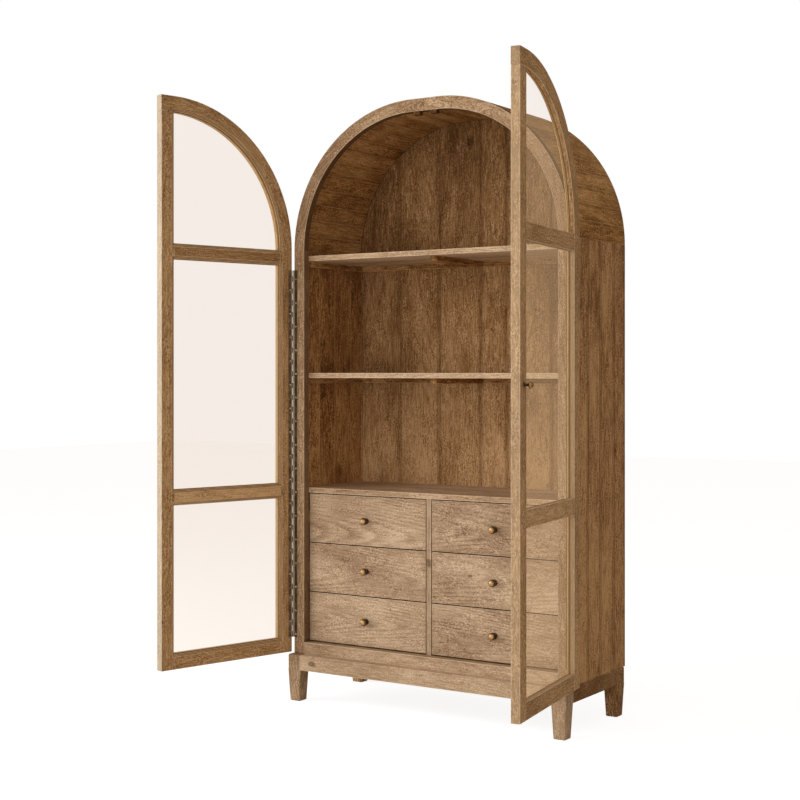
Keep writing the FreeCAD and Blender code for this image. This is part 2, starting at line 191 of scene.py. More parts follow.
# Masks near a board's arrises, in metres from them; crests and hollows are levels of a bead's wave.
woodEdges = {
    "ragged": mm(5), "worn": (mm(3), mm(0.6)), "glaze": (mm(14), mm(3)), "narrow": (mm(1.3), mm(0.8)),
    "inward": (mm(0.5), mm(1.6)), "corner": (mm(27), mm(23)), "inside": (mm(-6), mm(-9)),
    "ending": (mm(0.9), mm(0.2)), "crests": (0.1, 0.7), "hollows": (-0.1, -0.7), "beading": 0.75,
}
woodRelief = {
    "rings": 0.25, "fibres": 0.9, "streaks": 0.7, "pores": -0.6, "knot": -0.8, "depth": mm(0.8),
    "dullSpeckle": 0.25, "dullPores": 0.12, "ior": 1.25,
}


# The values that each board's points carry: their place along, across and through the board from its
# middle, the same along a bent board, its half sizes, its seed, tone and pith, and a knot's place and size.
pointLayers = ("grainAt", "edgeAt", "boardHalf", "boardMark", "knotAt")


def boardAttributes(tree):
    return [put(tree, "ShaderNodeAttribute", attribute_name=name).outputs["Vector"] for name in pointLayers]


def woodKnot(tree, spot, knotAt, rim):
    # A round mark that the growth rings flow round: its share of the radius, its pull and its core.
    alongKnot = times(tree, minus(tree, spot[0], knotAt[0]), woodFigure["knotLength"])
    acrossKnot = minus(tree, spot[1], knotAt[1])
    size = calc(tree, "MAXIMUM", knotAt[2], woodFigure["smallestKnot"])
    share = calc(tree, "DIVIDE", far(tree, alongKnot, acrossKnot), size)
    share = plus(tree, share, rim, woodFigure["knotRim"])
    pull = calc(tree, "EXPONENT", times(tree, times(tree, share, share), woodFigure["knotReach"]))
    return share, pull, remap(tree, share, *woodFigure["knotCore"])


def woodRings(tree, spot, swing, seed, pith, pull, fade, look):
    # Growth rings about a heart that lies beside the board and tapers along it.
    heartY = plus(tree, spot[1], minus(tree, seed, 0.5), woodFigure["heartSpread"])
    ringFar = far(tree, heartY, calc(tree, "ADD", spot[2], pith))
    for part, share in ((swing["sway"], look["sway"]), (swing["ripple"], look["ripple"]),
                        (spot[0], look["taper"]), (pull, woodFigure["knotPull"])):
        ringFar = plus(tree, ringFar, part, share)
    turn = calc(tree, "FRACT", calc(tree, "DIVIDE", ringFar, look["ringSpacing"]))
    rings = minus(tree, remap(tree, turn, *woodFigure["ringRise"]),
                 remap(tree, turn, *woodFigure["ringFall"]))
    return times(tree, minus(tree, rings, 0.5), fade)


def woodEdging(tree, colour, look, inner, edgeAt, ragged):
    # Worn arrises, beads, lips and narrow faces; gives the colour and the gloss.
    arris = calc(tree, "MAXIMUM", inner[1], inner[2])
    if look["freeEnds"]:
        arris = calc(tree, "MINIMUM", arris, calc(tree, "MAXIMUM", inner[0], inner[2]))
    arris = plus(tree, arris, ragged, woodEdges["ragged"])
    worn = remap(tree, arris, *woodEdges["worn"])
    glaze = times(tree, remap(tree, arris, *woodEdges["glaze"]), minus(tree, 1.0, worn))
    colour = coat(tree, colour, glaze, look["glaze"], look["dark"])
    colour = coat(tree, colour, worn, look["wear"], look["wornAndHighlightColour"])
    inward = remap(tree, inner[2], *woodEdges["inward"])
    gloss = look["gloss"]
    if look["beading"]:
        # The steps of a moulded bead, with painted highlights on their crests and painted shade in their
        # hollows.
        wave = calc(tree, "SINE", times(tree, split(tree, edgeAt)[1], 2 * math.pi / look["beading"]))
        for part, seen in (("hollows", "dark"), ("crests", "wornAndHighlightColour")):
            mask = remap(tree, wave, *woodEdges[part])
            colour = coat(tree, colour, mask, woodEdges["beading"], look[seen])
    if look["lip"]:
        # The narrow faces round a pane are paler than the members.
        lip = times(tree, remap(tree, inner[1], *woodEdges["narrow"]), inward)
        colour = coat(tree, colour, lip, look["lip"], look["lipColour"])
    if look["corner"]:
        # Painted shade: a dark line inside, where the back boards meet the vault.
        corner = times(tree, remap(tree, inner[0], *woodEdges["corner"]),
                       remap(tree, split(tree, edgeAt)[2], *woodEdges["inside"]))
        colour = coat(tree, colour, corner, look["corner"], look["knotColour"])
    if look["flankPaintedLight"]:
        # Narrow faces with painted light: painted shade in the gaps round drawers, rails, stiles and the
        # arch, and a painted highlight where two doors meet.
        flankPaintedLight = {"ends": inner[0], "edges": inner[1],
                 "both": calc(tree, "MINIMUM", inner[0], inner[1])}[look["flankOn"]]
        flankPaintedLight = times(tree, remap(tree, flankPaintedLight, *woodEdges["narrow"]), inward)
        colour = coat(tree, colour, flankPaintedLight, look["flankPaintedLight"], look["flankPaintedColour"])
        gloss = times(tree, minus(tree, 1.0, flankPaintedLight), look["gloss"])
    # End grain drinks more stain.
    ending = remap(tree, inner[0], *woodEdges["ending"])
    return coat(tree, colour, ending, look["endGrain"], look["endColour"]), gloss


def stainedWood(name, look):
    material, tree = newMaterial(name)
    grainAt, edgeAt, half, boardMark, knotAt = boardAttributes(tree)
    seed, tone, pith = split(tree, boardMark)
    spot = split(tree, grainAt)

    # Each board samples its own part of the pattern, straight or aslant to its grain.
    shift = join(tree, *(times(tree, seed, step) for step in woodFigure["seedShifts"]))
    aslant = join(tree, plus(tree, spot[0], spot[1], woodFigure["slant"][0]),
                  plus(tree, spot[1], spot[0], woodFigure["slant"][1]), spot[2])
    lying = {way: vectorCalc(tree, "ADD", place, shift)
             for way, place in (("straight", grainAt), ("aslant", aslant))}
    noises = {part: noiseOf(tree, lying[way], *rest) for part, (way, *rest) in woodNoises.items()}
    swing = {part: minus(tree, noise, 0.5) for part, noise in noises.items()}
    masks = {part: remap(tree, noises[part], *steps) for part, steps in woodMasks.items()}
    share, pull, core = woodKnot(tree, spot, split(tree, knotAt), swing["knotRim"])
    swing["rings"] = woodRings(tree, spot, swing, seed, pith, pull, masks["ringFade"], look)
    swing["speckle"] = times(tree, swing["speckle"], masks["patchy"])
    soot = remap(tree, noises["soot"], look["sootFrom"], look["sootFrom"] + woodFigure["sootSoftness"])
    masks["soot"] = times(tree, soot, masks["sootGrain"])
    masks["scuffs"] = times(tree, masks["scuffs"], masks["scuffGrain"])

    level = 0.5
    for part in ("rings", "clouds", "sweeps", "streaks", "lines", "fibres", "speckle"):
        level = plus(tree, level, swing[part], look[part])
    # A slope of tone along the grain: painted light and shade, darker towards the top of an upright board and
    # lighter towards its foot.
    level = plus(tree, level, minus(tree, spot[0], look["fadeFrom"]), look["fade"])
    level = plus(tree, level, tone, look["tone"], clamp=True)
    ramp = put(tree, "ShaderNodeValToRGB", {0: level})
    stops = ramp.color_ramp.elements
    for stop, place, seen in zip(stops, woodFigure["rampEnds"], ("dark", "light")):
        stop.position, stop.color = place, paint(*look[seen])
    stops.new(0.5).color = paint(*look["middle"])
    colour = ramp.outputs[0]
    for part, seen in (("soot", "sootColour"), ("pores", "poreColour"), ("flecks", "fleckColour"),
                       ("scuffs", "wornAndHighlightColour")):
        colour = coat(tree, colour, masks[part], look[part], look[seen])
    knotRing = remap(tree, calc(tree, "FRACT", times(tree, share, woodFigure["knotRings"])),
                     *woodFigure["knotRingMask"])
    colour = coat(tree, colour, times(tree, core, knotRing), woodFigure["knotDepth"], look["knotColour"])

    # How far a place lies inside its board's faces along, across and through it.
    inner = split(tree, vectorCalc(tree, "SUBTRACT", half, vectorCalc(tree, "ABSOLUTE", edgeAt)))
    colour, gloss = woodEdging(tree, colour, look, inner, edgeAt, swing["ragged"])
    roughness = plus(tree, look["roughness"], swing["speckle"], woodRelief["dullSpeckle"])
    roughness = plus(tree, roughness, masks["pores"], woodRelief["dullPores"], clamp=True)
    height = times(tree, swing["rings"], woodRelief["rings"])
    for part, source in (("fibres", swing), ("streaks", swing), ("pores", masks)):
        height = plus(tree, height, source[part], woodRelief[part])
    height = plus(tree, height, core, woodRelief["knot"])
    bump = put(tree, "ShaderNodeBump", {
        "Height": height, "Strength": look["bump"], "Distance": woodRelief["depth"]})
    finishMaterial(tree, {
        "Base Color": colour, "Roughness": roughness, "Normal": bump.outputs[0],
        "Specular IOR Level": gloss, "IOR": woodRelief["ior"]})
    return material


frameLook = {
    "dark": (128, 101, 74), "middle": (178, 151, 123), "light": (219, 195, 167),
    "fleckColour": (232, 213, 188), "poreColour": (104, 76, 50), "knotColour": (84, 58, 36),
    "wornAndHighlightColour": (232, 213, 188), "endColour": (140, 108, 78), "sootColour": (112, 84, 58),
    "ringSpacing": 0.0085, "taper": 0.09, "sway": 0.024, "ripple": 0.003,
    "rings": 0.14, "clouds": 0.95, "sweeps": 0.16, "streaks": 0.20, "lines": 0.75,
    "fibres": 0.30, "speckle": 1.25, "tone": 0.14, "fade": 0.0, "fadeFrom": 0.0,
    "pores": 0.30, "flecks": 0.30, "soot": 0.22, "sootFrom": 0.58, "scuffs": 0.12,
    "glaze": 0.14, "wear": 0.50, "endGrain": 0.45, "freeEnds": False, "lip": 0.0, "beading": 0.0,
    "corner": 0.0, "flankPaintedLight": 0.0, "flankOn": "both", "roughness": 0.74, "gloss": 0.12, "bump": 0.35,
}
archLook = {**frameLook,
    "dark": (110, 83, 57), "middle": (156, 126, 97), "light": (204, 176, 144),
    "clouds": 0.8, "tone": 0.0, "lines": 1.0, "speckle": 2.0, "wear": 0.32,
    # The arch's curved narrow faces are painted dark: painted shade on its underside and top.
    "flankPaintedLight": 0.85, "flankOn": "edges", "flankPaintedColour": (78, 50, 26),
}
# The bottom rail: a little painted shade on its narrow faces, in the gap under the drawers.
railLook = {**frameLook, "flankPaintedLight": 0.2, "flankPaintedColour": (66, 43, 24)}
drawerLook = {**frameLook,
    "dark": (121, 94, 70), "middle": (177, 150, 124), "light": (219, 196, 169),
    "rings": 0.22, "ringSpacing": 0.010, "lines": 0.6, "speckle": 1.5, "clouds": 1.0, "soot": 0.18,
    # Drawer fronts: their narrow faces are painted near black, painted shade in the gaps round them.
    "freeEnds": True, "flankPaintedLight": 1.0, "flankPaintedColour": (22, 12, 5), "wear": 0.22, "gloss": 0.06,
}
innerLook = {**frameLook,
    "dark": (84, 53, 24), "middle": (144, 102, 60), "light": (200, 158, 108),
    "fleckColour": (206, 168, 122), "poreColour": (66, 40, 18), "knotColour": (50, 30, 12),
    "wornAndHighlightColour": (206, 168, 124), "endColour": (100, 68, 38), "sootColour": (72, 44, 20),
    "rings": 0.20, "clouds": 1.25, "sweeps": 0.20, "streaks": 0.36, "soot": 0.38, "sootFrom": 0.56,
    "wear": 0.45, "lines": 1.5, "speckle": 2.1, "pores": 0.38, "flecks": 0.22, "scuffs": 0.26,
    # Inside boards are painted darker towards the top and lighter low down: painted shade and light.
    "gloss": 0.08, "fade": -0.17, "fadeFrom": 0.40,
}
vaultLook = {**innerLook,
    "dark": (88, 55, 24), "middle": (158, 114, 66), "rings": 0.12, "clouds": 1.5, "sweeps": 0.10,
    "tone": 0.05, "fade": 0.0, "speckle": 2.0, "lines": 1.1, "scuffs": 0.44, "wear": 0.26,
    # The corner line is painted shade where the back boards meet the vault.
    "glaze": 0.30, "corner": 0.75,
}
backLook = {**innerLook,
    "dark": (96, 66, 38), "middle": (158, 120, 80), "light": (210, 173, 130), "rings": 0.14,
    "wear": 0.10, "lines": 1.15, "speckle": 1.6, "clouds": 1.1, "glaze": 0.45, "tone": 0.08,
    # The back boards have a stronger painted slope: lighter low down, darker high up.
    "soot": 0.30, "scuffs": 0.12, "fade": -0.38, "fadeFrom": 0.26,
}
rightSideLook = {**innerLook,
    "dark": (84, 53, 30), "middle": (139, 99, 63), "light": (195, 154, 110), "glaze": 0.5, "wear": 0.10,
}
sideBaseLook = {**innerLook,
    "dark": (98, 68, 40), "middle": (156, 119, 81), "light": (206, 171, 130), "fade": 0.0,
}
doorLook = {**frameLook,
    "dark": (112, 80, 48), "middle": (161, 125, 86), "light": (205, 171, 129), "clouds": 0.9,
    "wear": 0.46, "lines": 1.0, "speckle": 1.9, "lip": 0.7, "lipColour": (176, 152, 122),
}
beadLook = {**doorLook,
    "dark": (94, 70, 44), "middle": (146, 116, 82), "light": (196, 166, 128), "lip": 0.0,
    # The bead's steps get painted highlights on their crests and painted shade in their hollows.
    "wornAndHighlightColour": (226, 192, 150), "beading": mm(4.2),
}
# Meeting edges: painted pale, a painted highlight where the door edges face the light; weaker on the right
# door.
leftMeetingLook = {**doorLook,
    "tone": 0.0, "lip": 0.0, "flankPaintedLight": 0.40, "flankOn": "edges", "flankPaintedColour": (206, 206, 194),
}
rightMeetingLook = {**leftMeetingLook, "flankPaintedLight": 0.18, "flankPaintedColour": (236, 220, 196)}
shelfLook = {**frameLook,
    "dark": (132, 104, 76), "middle": (186, 157, 127), "light": (224, 200, 170), "rings": 0.18,
}
# The door arch rails' end faces take the same painted highlight as the meeting edges.
archEnds = {"flankOn": "ends", "endGrain": 0.0}

woodLooks = {
    # The left stile's sides take painted shade, in the gaps beside the drawers.
    "frame": frameLook, "arch": archLook, "leftStile": {**archLook, "flankPaintedLight": 0.6},
    "rightStile": {**archLook, "flankPaintedLight": 0.0}, "rail": railLook, "drawerFront": drawerLook,
    "inner": innerLook, "rightSide": rightSideLook, "vault": vaultLook, "backBoard": backLook,
    "sideBase": sideBaseLook, "door": doorLook, "bead": beadLook, "leftMeetingStile": leftMeetingLook,
    "leftDoorArch": {**leftMeetingLook, **archEnds}, "rightMeetingStile": rightMeetingLook,
    "rightDoorArch": {**rightMeetingLook, **archEnds}, "shelf": shelfLook,
}
woods = {name: stainedWood(name + "Wood", look) for name, look in woodLooks.items()}
slots = {name: "frame_wood" for name in woods}
slots["drawerFront"] = "drawer_front_wood"
slots.update({name: "inner_wood" for name in ("inner", "rightSide", "vault", "backBoard")})
print("wood finishes made:", len(woods))


# Metals and glass.

metalFigure = {
    "broadShare": 0.7, "fineShare": 0.3, "fineStretch": (900, 900, 900), "patinaSoftness": 0.22,
    "leafPatinaAndShade": (0.8, 0.2), "knuckle": (mm(4.2), mm(2.6)), "dullest": 0.26, "bump": 0.15,
    "bumpDepth": mm(0.3),
}


def agedMetal(name, look):
    material, tree = newMaterial(name)
    place = objectPlace(tree)
    broad = noiseOf(tree, place, (look["patch"],) * 3, 3, 0.6)
    fine = noiseOf(tree, place, metalFigure["fineStretch"], 3, 0.65)
    level = plus(tree, times(tree, broad, metalFigure["broadShare"]), fine, metalFigure["fineShare"])
    patinaAndShade = remap(tree, level, look["patinaFrom"], look["patinaFrom"] + metalFigure["patinaSoftness"])
    if look["pin"]:
        # A hinge's knuckles are rubbed bright, which also paints in the highlight they catch; its leaves are
        # kept dark with patina, which on the frame leaf is painted shade as well.
        spot = split(tree, place)
        pinX = minus(tree, calc(tree, "ABSOLUTE", spot[0]), look["pin"][0])
        pinY = minus(tree, spot[1], look["pin"][1])
        rubbedAndGlinting = remap(tree, far(tree, pinX, pinY), *metalFigure["knuckle"])
        least, share = metalFigure["leafPatinaAndShade"]
        patinaAndShade = plus(tree, least, patinaAndShade, share)
    else:
        rubbedAndGlinting = put(tree, "ShaderNodeAttribute", attribute_name="rubbedAndGlinting").outputs["Fac"]
    patinaAndShade = plus(tree, patinaAndShade, rubbedAndGlinting, -look["rubAndGlint"], clamp=True)
    colour = blend(tree, patinaAndShade, paint(*look["metal"]), paint(*look["patinaAndShade"]))
    roughness = remap(tree, patinaAndShade, 0.0, 1.0, look["roughness"], look["roughness"] + metalFigure["dullest"])
    bump = put(tree, "ShaderNodeBump", {
        "Height": fine, "Strength": metalFigure["bump"], "Distance": metalFigure["bumpDepth"]})
    finishMaterial(tree, {
        "Base Color": colour, "Roughness": roughness, "Metallic": look["metallic"],
        "Normal": bump.outputs[0], "Specular IOR Level": look["gloss"]})
    return material


# The frame leaf's look is the shaded copy: darker metal and patina, painted shade where the leaf sits deep
# between door and frame.
shadedHingeLook = {
    "metal": (158, 138, 110), "patinaAndShade": (44, 33, 22), "patch": 55, "pin": (0.5598, -0.1912),
    "patinaFrom": 0.36, "rubAndGlint": 1.0, "roughness": 0.42, "metallic": 0.35, "gloss": 0.5,
}
plainLook = {**shadedHingeLook, "pin": None, "rubAndGlint": 0.0}
metalLooks = {
    "shadedHingeFrameLeaf": shadedHingeLook,
    # The door leaf is the lit copy: lighter metal, its knuckles a painted highlight.
    "litHingeDoorLeaf": {**shadedHingeLook,
        "metal": (212, 196, 170), "patinaAndShade": (80, 60, 40), "pin": (0.5631, -0.1942),
    },
    "screwBrass": {**plainLook,
        "metal": (236, 222, 196), "patinaAndShade": (176, 156, 124), "patch": 70, "patinaFrom": 0.40,
        "roughness": 0.40,
    },
    "drawerKnobBrass": {**plainLook,
        "metal": (178, 138, 90), "patinaAndShade": (40, 27, 15), "patch": 140, "patinaFrom": 0.30, "rubAndGlint": 0.9,
        "roughness": 0.28, "metallic": 0.65,
    },
    "doorKnobBronze": {**plainLook,
        "metal": (176, 130, 70), "patinaAndShade": (34, 23, 13), "patch": 120, "patinaFrom": 0.26, "rubAndGlint": 0.7,
        "metallic": 0.3, "gloss": 0.25,
    },
    "catchSteel": {**plainLook,
        "metal": (104, 72, 42), "patinaAndShade": (74, 49, 27), "patch": 90, "patinaFrom": 0.38,
        "roughness": 0.7, "metallic": 0.0, "gloss": 0.05,
    },
    "strikeBrass": {**plainLook,
        "metal": (150, 114, 80), "patinaAndShade": (96, 68, 44), "patch": 120, "patinaFrom": 0.38, "rubAndGlint": 0.4,
        "roughness": 0.5, "metallic": 0.2,
    },
}
metals = {name: agedMetal(name, look) for name, look in metalLooks.items()}
glassLook = {
    "haze": (122, 103, 62), "hazeLight": (134, 113, 70), "alpha": 0.14, "ior": 1.45, "gloss": 0.2,
    "paintedGlow": (255, 203, 140), "paintedGlowStrength": 0.52, "slant": (0.25, 0.65, 1.0, 0.9),
    "smearStretch": (14, 14, 9), "smearRoughness": (0.3, 0.8, 0.12, 0.20),
    "waveStretch": (5, 5, 5), "waveBump": 0.04, "waveDepth": mm(1),
}


def paneGlass(name, look):
    # Old clear glass, whose warm veil over what is behind is a painted glow: the glass emits light though it
    # is no lamp, least at a slant.
    material, tree = newMaterial(name)
    place = objectPlace(tree)
    wave = noiseOf(tree, place, look["waveStretch"], 1)
    smear = noiseOf(tree, place, look["smearStretch"], 3, 0.6)
    bump = put(tree, "ShaderNodeBump", {
        "Height": wave, "Strength": look["waveBump"], "Distance": look["waveDepth"]})
    slant = put(tree, "ShaderNodeLayerWeight", {"Blend": 0.5}).outputs["Facing"]
    finishMaterial(tree, {
        "Base Color": blend(tree, smear, paint(*look["haze"]), paint(*look["hazeLight"])),
        "Roughness": remap(tree, smear, *look["smearRoughness"]), "Normal": bump.outputs[0],
        "Alpha": look["alpha"], "IOR": look["ior"], "Specular IOR Level": look["gloss"],
        "Emission Color": paint(*look["paintedGlow"]),
        "Emission Strength": times(tree, remap(tree, slant, *look["slant"]), look["paintedGlowStrength"])})
    return material


glass = paneGlass("paneGlass", glassLook)
print("metals and glass made")


# Boards.

# Angles are in radians, between the faces at an edge.
edging = {
    "bevelFrom": 0.6, "segments": 2, "sharpFrom": 0.44, "chamferFrom": 0.045, "narrowFace": mm(6),
    "staveSharp": 0.2, "turnedSharp": 0.7, "flatAngle": math.radians(0.5), "merge": mm(0.02),
    "ease": mm(1), "stripEase": mm(0.6), "pith": (0.02, 0.09),
}


def newPiece():
    return {"points": [], "faces": [], "sharp": [], **{layer: [] for layer in pointLayers}}


def faceWidth(face):
    longest = max(edge.calc_length() for edge in face.edges)
    return face.calc_area() / longest if longest else 0.0


def easeEdges(board, width):
    if width <= 0:
        return
    edges = [e for e in board.edges
             if e.is_manifold and e.is_convex and e.calc_face_angle(0) > edging["bevelFrom"]]
    bmesh.ops.bevel(board, geom=edges, offset=width, offset_type="OFFSET", segments=edging["segments"],
                    profile=0.5, affect="EDGES", clamp_overlap=True)


def reachOf(points):
    return (Vector([min(p[i] for p in points) for i in range(3)]),
            Vector([max(p[i] for p in points) for i in range(3)]))


def addBoard(piece, board, grain=None, ease=edging["ease"], tone=None, knot=(0, 0, 0), pith=None,
             curve=None):
    # board is a closed bmesh; curve holds "along" and "across" directions for a curved one.
    path = board.verts.layers.float_vector.get("path")
    bmesh.ops.recalc_face_normals(board, faces=board.faces)
    easeEdges(board, ease)
    board.normal_update()
    points = [v.co.copy() for v in board.verts]
    if curve:
        axes = [curve["along"], curve["across"], Vector((0, 1, 0))]
    else:
        spans = [max(p[i] for p in points) - min(p[i] for p in points) for i in range(3)]
        order = sorted(range(3), key=lambda i: -spans[i])
        if grain is not None:
            order.remove(grain)
            order.insert(0, grain)
        axes = [Vector([float(i == j) for j in range(3)]) for i in order]
    local = [Vector([p.dot(axis) for axis in axes]) for p in points]
    low, high = reachOf(local)
    centre = (low + high) / 2
    half = (high - low) / 2
    local = [p - centre for p in local]
    edges = local
    if path:
        paths = [v[path].copy() for v in board.verts]
        pathLow, pathHigh = reachOf(paths)
        edges = [p - (pathLow + pathHigh) / 2 for p in paths]
        half = (pathHigh - pathLow) / 2
        if curve.get("follow"):
            local = edges
    mark = (dice.random(), dice.uniform(-1, 1) if tone is None else tone,
            dice.choice((-1, 1)) * dice.uniform(*edging["pith"]) if pith is None else pith)
    start = len(piece["points"])
    piece["points"] += points
    piece["grainAt"] += local
    piece["edgeAt"] += edges
    piece["boardHalf"] += [half] * len(points)
    piece["boardMark"] += [mark] * len(points)
    piece["knotAt"] += [knot] * len(points)
    board.verts.index_update()
    for face in board.faces:
        piece["faces"].append([start + v.index for v in face.verts])
    for edge in board.edges:
        if len(edge.link_faces) != 2:
            continue
        angle = edge.calc_face_angle(0)
        wide = [faceWidth(face) > edging["narrowFace"] for face in edge.link_faces]
        if angle > edging["sharpFrom"] or (angle > edging["chamferFrom"] and wide[0] != wide[1]):
            piece["sharp"].append(frozenset(start + v.index for v in edge.verts))
    board.free()


def finishPiece(piece, name, finish, body, replaced, side=0):
    mesh = bpy.data.meshes.new(name)
    mesh.from_pydata(piece["points"], [], piece["faces"])
    mesh.update()
    for layer in pointLayers:
        attribute = mesh.attributes.new(layer, "FLOAT_VECTOR", "POINT")
        attribute.data.foreach_set("vector", [c for value in piece[layer] for c in value])
    mesh.polygons.foreach_set("use_smooth", [True] * len(mesh.polygons))
    sharp = set(piece["sharp"])
    for edge in mesh.edges:
        edge.use_edge_sharp = frozenset(edge.vertices) in sharp
    if side:
        mesh.transform(doorTurn(side))
    mesh.materials.append(woods[finish])
    made = addObject(name, mesh)
    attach(made, body)
    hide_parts(*replaced)
    return made


def doorTurn(side, back=False):
    # Swings a shut door's mesh to where it stands in the photograph, or back.
    angle = math.radians(cabinet["leftSwing"] if side < 0 else cabinet["rightSwing"])
    pin = Vector((side * cabinet["pinX"], cabinet["pinY"], 0))
    turn = Matrix.Rotation(-angle if back else angle, 4, "Z")
    return Matrix.Translation(pin) @ turn @ Matrix.Translation(-pin)


def cadBoards(nodeName, side=0):
    # The solids of a node as separate merged meshes, door parts swung shut.
    whole = bmesh.new()
    whole.from_mesh(cadNodes[nodeName].data)
    bmesh.ops.remove_doubles(whole, verts=whole.verts, dist=edging["merge"])
    if side:
        bmesh.ops.transform(whole, matrix=doorTurn(side, back=True), verts=whole.verts)
    bmesh.ops.dissolve_limit(whole, angle_limit=edging["flatAngle"], verts=whole.verts, edges=whole.edges)
    whole.verts.ensure_lookup_table()
    seen, boards = set(), []
    for first in whole.verts:
        if first in seen:
            continue
        group, queue = [], [first]
        seen.add(first)
        while queue:
            vert = queue.pop()
            group.append(vert)
            for edge in vert.link_edges:
                other = edge.other_vert(vert)
                if other not in seen:
                    seen.add(other)
                    queue.append(other)
        board = bmesh.new()
        copies = {vert: board.verts.new(vert.co) for vert in group}
        for face in dict.fromkeys(face for vert in group for face in vert.link_faces):
            board.faces.new([copies[vert] for vert in face.verts])
        board.normal_update()
        boards.append(board)
    whole.free()

    def middle(board):
        points = [v.co for v in board.verts]
        return [round(sum(p[i] for p in points) / len(points), 3) for i in range(3)]

    return sorted(boards, key=middle)


def boxBoard(low, high):
    board = bmesh.new()
    bmesh.ops.create_cube(board, size=1.0)
    for vert in board.verts:
        vert.co = Vector([low[i] if vert.co[i] < 0 else high[i] for i in range(3)])
    return board


def dress(nodeName, finish, body, side=0, grain=None, ease=edging["ease"], marks=None):
    # A node's boards as they are, with eased arrises and their own grain.
    piece = newPiece()
    for index, board in enumerate(cadBoards(nodeName, side)):
        extra = (marks or {}).get(index, {})
        addBoard(piece, board, grain=grain, ease=ease, **extra)
    return finishPiece(piece, nodeName + "Dressed", finish, body, [nodeName], side)


def stripped(nodeName, finish, body, axis, seams, grain, ease=edging["stripEase"], marks=None):
    # A wide panel glued up from strips, with its seams at these places along one axis.
    low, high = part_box(nodeName)
    cuts = [low[axis]] + list(seams) + [high[axis]]
    piece = newPiece()
    for index, (start, end) in enumerate(zip(cuts, cuts[1:])):
        stripLow, stripHigh = low.copy(), high.copy()
        stripLow[axis], stripHigh[axis] = start, end
        extra = (marks or {}).get(index, {})
        addBoard(piece, boxBoard(stripLow, stripHigh), grain=grain, ease=ease, **extra)
    return finishPiece(piece, nodeName + "Dressed", finish, body, [nodeName])


# Base.

base = {
    "ease": mm(0.8),
    "legTones": {
        "leg_front_left": -1.2, "leg_front_right": 0.0, "leg_rear_left": 0.0, "leg_rear_right": -0.3},
    "apronMarks": {0: {"tone": 0.6, "knot": (-0.453, 0.0, 0.012), "pith": 0.05}},
}
for legName, tone in base["legTones"].items():
    finish = "sideBase" if "rear" in legName else "frame"
    dress(legName, finish, "cabinet", grain=2, ease=base["ease"], marks={0: {"tone": tone}})
dress("front_apron", "frame", "cabinet", grain=0, ease=base["ease"], marks=base["apronMarks"])
dress("side_and_rear_aprons", "sideBase", "cabinet", ease=base["ease"])
print("base dressed")

# Case.

case = {
    "ease": mm(1.2),
    "sideSeams": (0.130, 0.225, 0.330),
    # The right panel's strips are toned lighter than the left panel's: painted light on its lit outer face,
    # the left panel's inside staying in shade.
    "sideTones": {"left": (0.3, -0.2, 0.1, -0.3), "right": (1.6, 0.6, 1.1, 0.5)},
    "shelfSeams": (0.33, 0.64), "shelfEase": mm(0.7), "backEase": mm(0.5), "supportEase": mm(0.8),
    "supports": 10, "supportTone": -0.6, "dividerKnot": (0.049, -0.185, 0.010),
    "backMarks": {2: {"knot": (0.894, 0.045, 0.017)}},
}
dress("bottom_rail", "rail", "cabinet", grain=0, ease=case["ease"], marks={0: {"tone": 0.6}})
for sideName in ("left", "right"):
    dress(sideName + "_front_stile", sideName + "Stile", "cabinet", grain=2, ease=case["ease"])
    sideMarks = {i: {"tone": tone} for i, tone in enumerate(case["sideTones"][sideName])}
    finish = "rightSide" if sideName == "right" else "inner"
    stripped(sideName + "_side_panel", finish, "cabinet", 1,
             [cabinet["caseFront"] + seam for seam in case["sideSeams"]], 2, marks=sideMarks)
for shelfName in ("top_shelf", "middle_shelf", "drawer_case_top", "bottom_board"):
    shelfLow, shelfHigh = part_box(shelfName)
    depth = shelfHigh.y - shelfLow.y
    finish = "inner" if shelfName == "bottom_board" else "shelf"
    seams = [shelfLow.y + share * depth for share in case["shelfSeams"]]
    stripped(shelfName, finish, "cabinet", 1, seams, 0, ease=case["shelfEase"])
dress("drawer_divider", "frame", "cabinet", grain=2, marks={0: {"knot": case["dividerKnot"]}})
dress("back_boards", "backBoard", "cabinet", grain=2, ease=case["backEase"], marks=case["backMarks"])
dress("shelf_supports", "inner", "cabinet", ease=case["supportEase"],
      marks={i: {"tone": case["supportTone"]} for i in range(case["supports"])})
dress("drawer_runners", "inner", "cabinet", grain=1, ease=case["backEase"])
print("case dressed")


# Arches.

def archStation(angle, centreX, radius):
    # A place on an arc, its outward normal and its tangent, in the upright plane.
    turn = math.radians(angle)
    normal = Vector((math.cos(turn), math.sin(turn)))
    return {"place": Vector((centreX, cabinet["spring"])) + normal * radius, "out": normal,
            "along": Vector((-normal.y, normal.x)), "slope": 0.0}


def sweepBoard(profile, stations):
    # Carries a profile of (outward, depth) points along the stations, with closed ends.
    board = bmesh.new()
    path = board.verts.layers.float_vector.new("path")
    rings, run, before = [], 0.0, None
    for station in stations:
        if before is not None:
            run += (station["place"] - before).length
        before = station["place"]
        ring = []
        for outward, depth in station.get("profile", profile):
            flat = station["place"] + station["out"] * outward + station["along"] * station["slope"] * outward
            vert = board.verts.new((flat.x, depth, flat.y))
            vert[path] = (run, outward, depth)
            ring.append(vert)
        rings.append(ring)
    count = len(profile)
    for first, second in zip(rings, rings[1:]):
        for i in range(count):
            board.faces.new((first[i], first[(i + 1) % count], second[(i + 1) % count], second[i]))
    board.faces.new(rings[0])
    board.faces.new(list(reversed(rings[-1])))
    return board


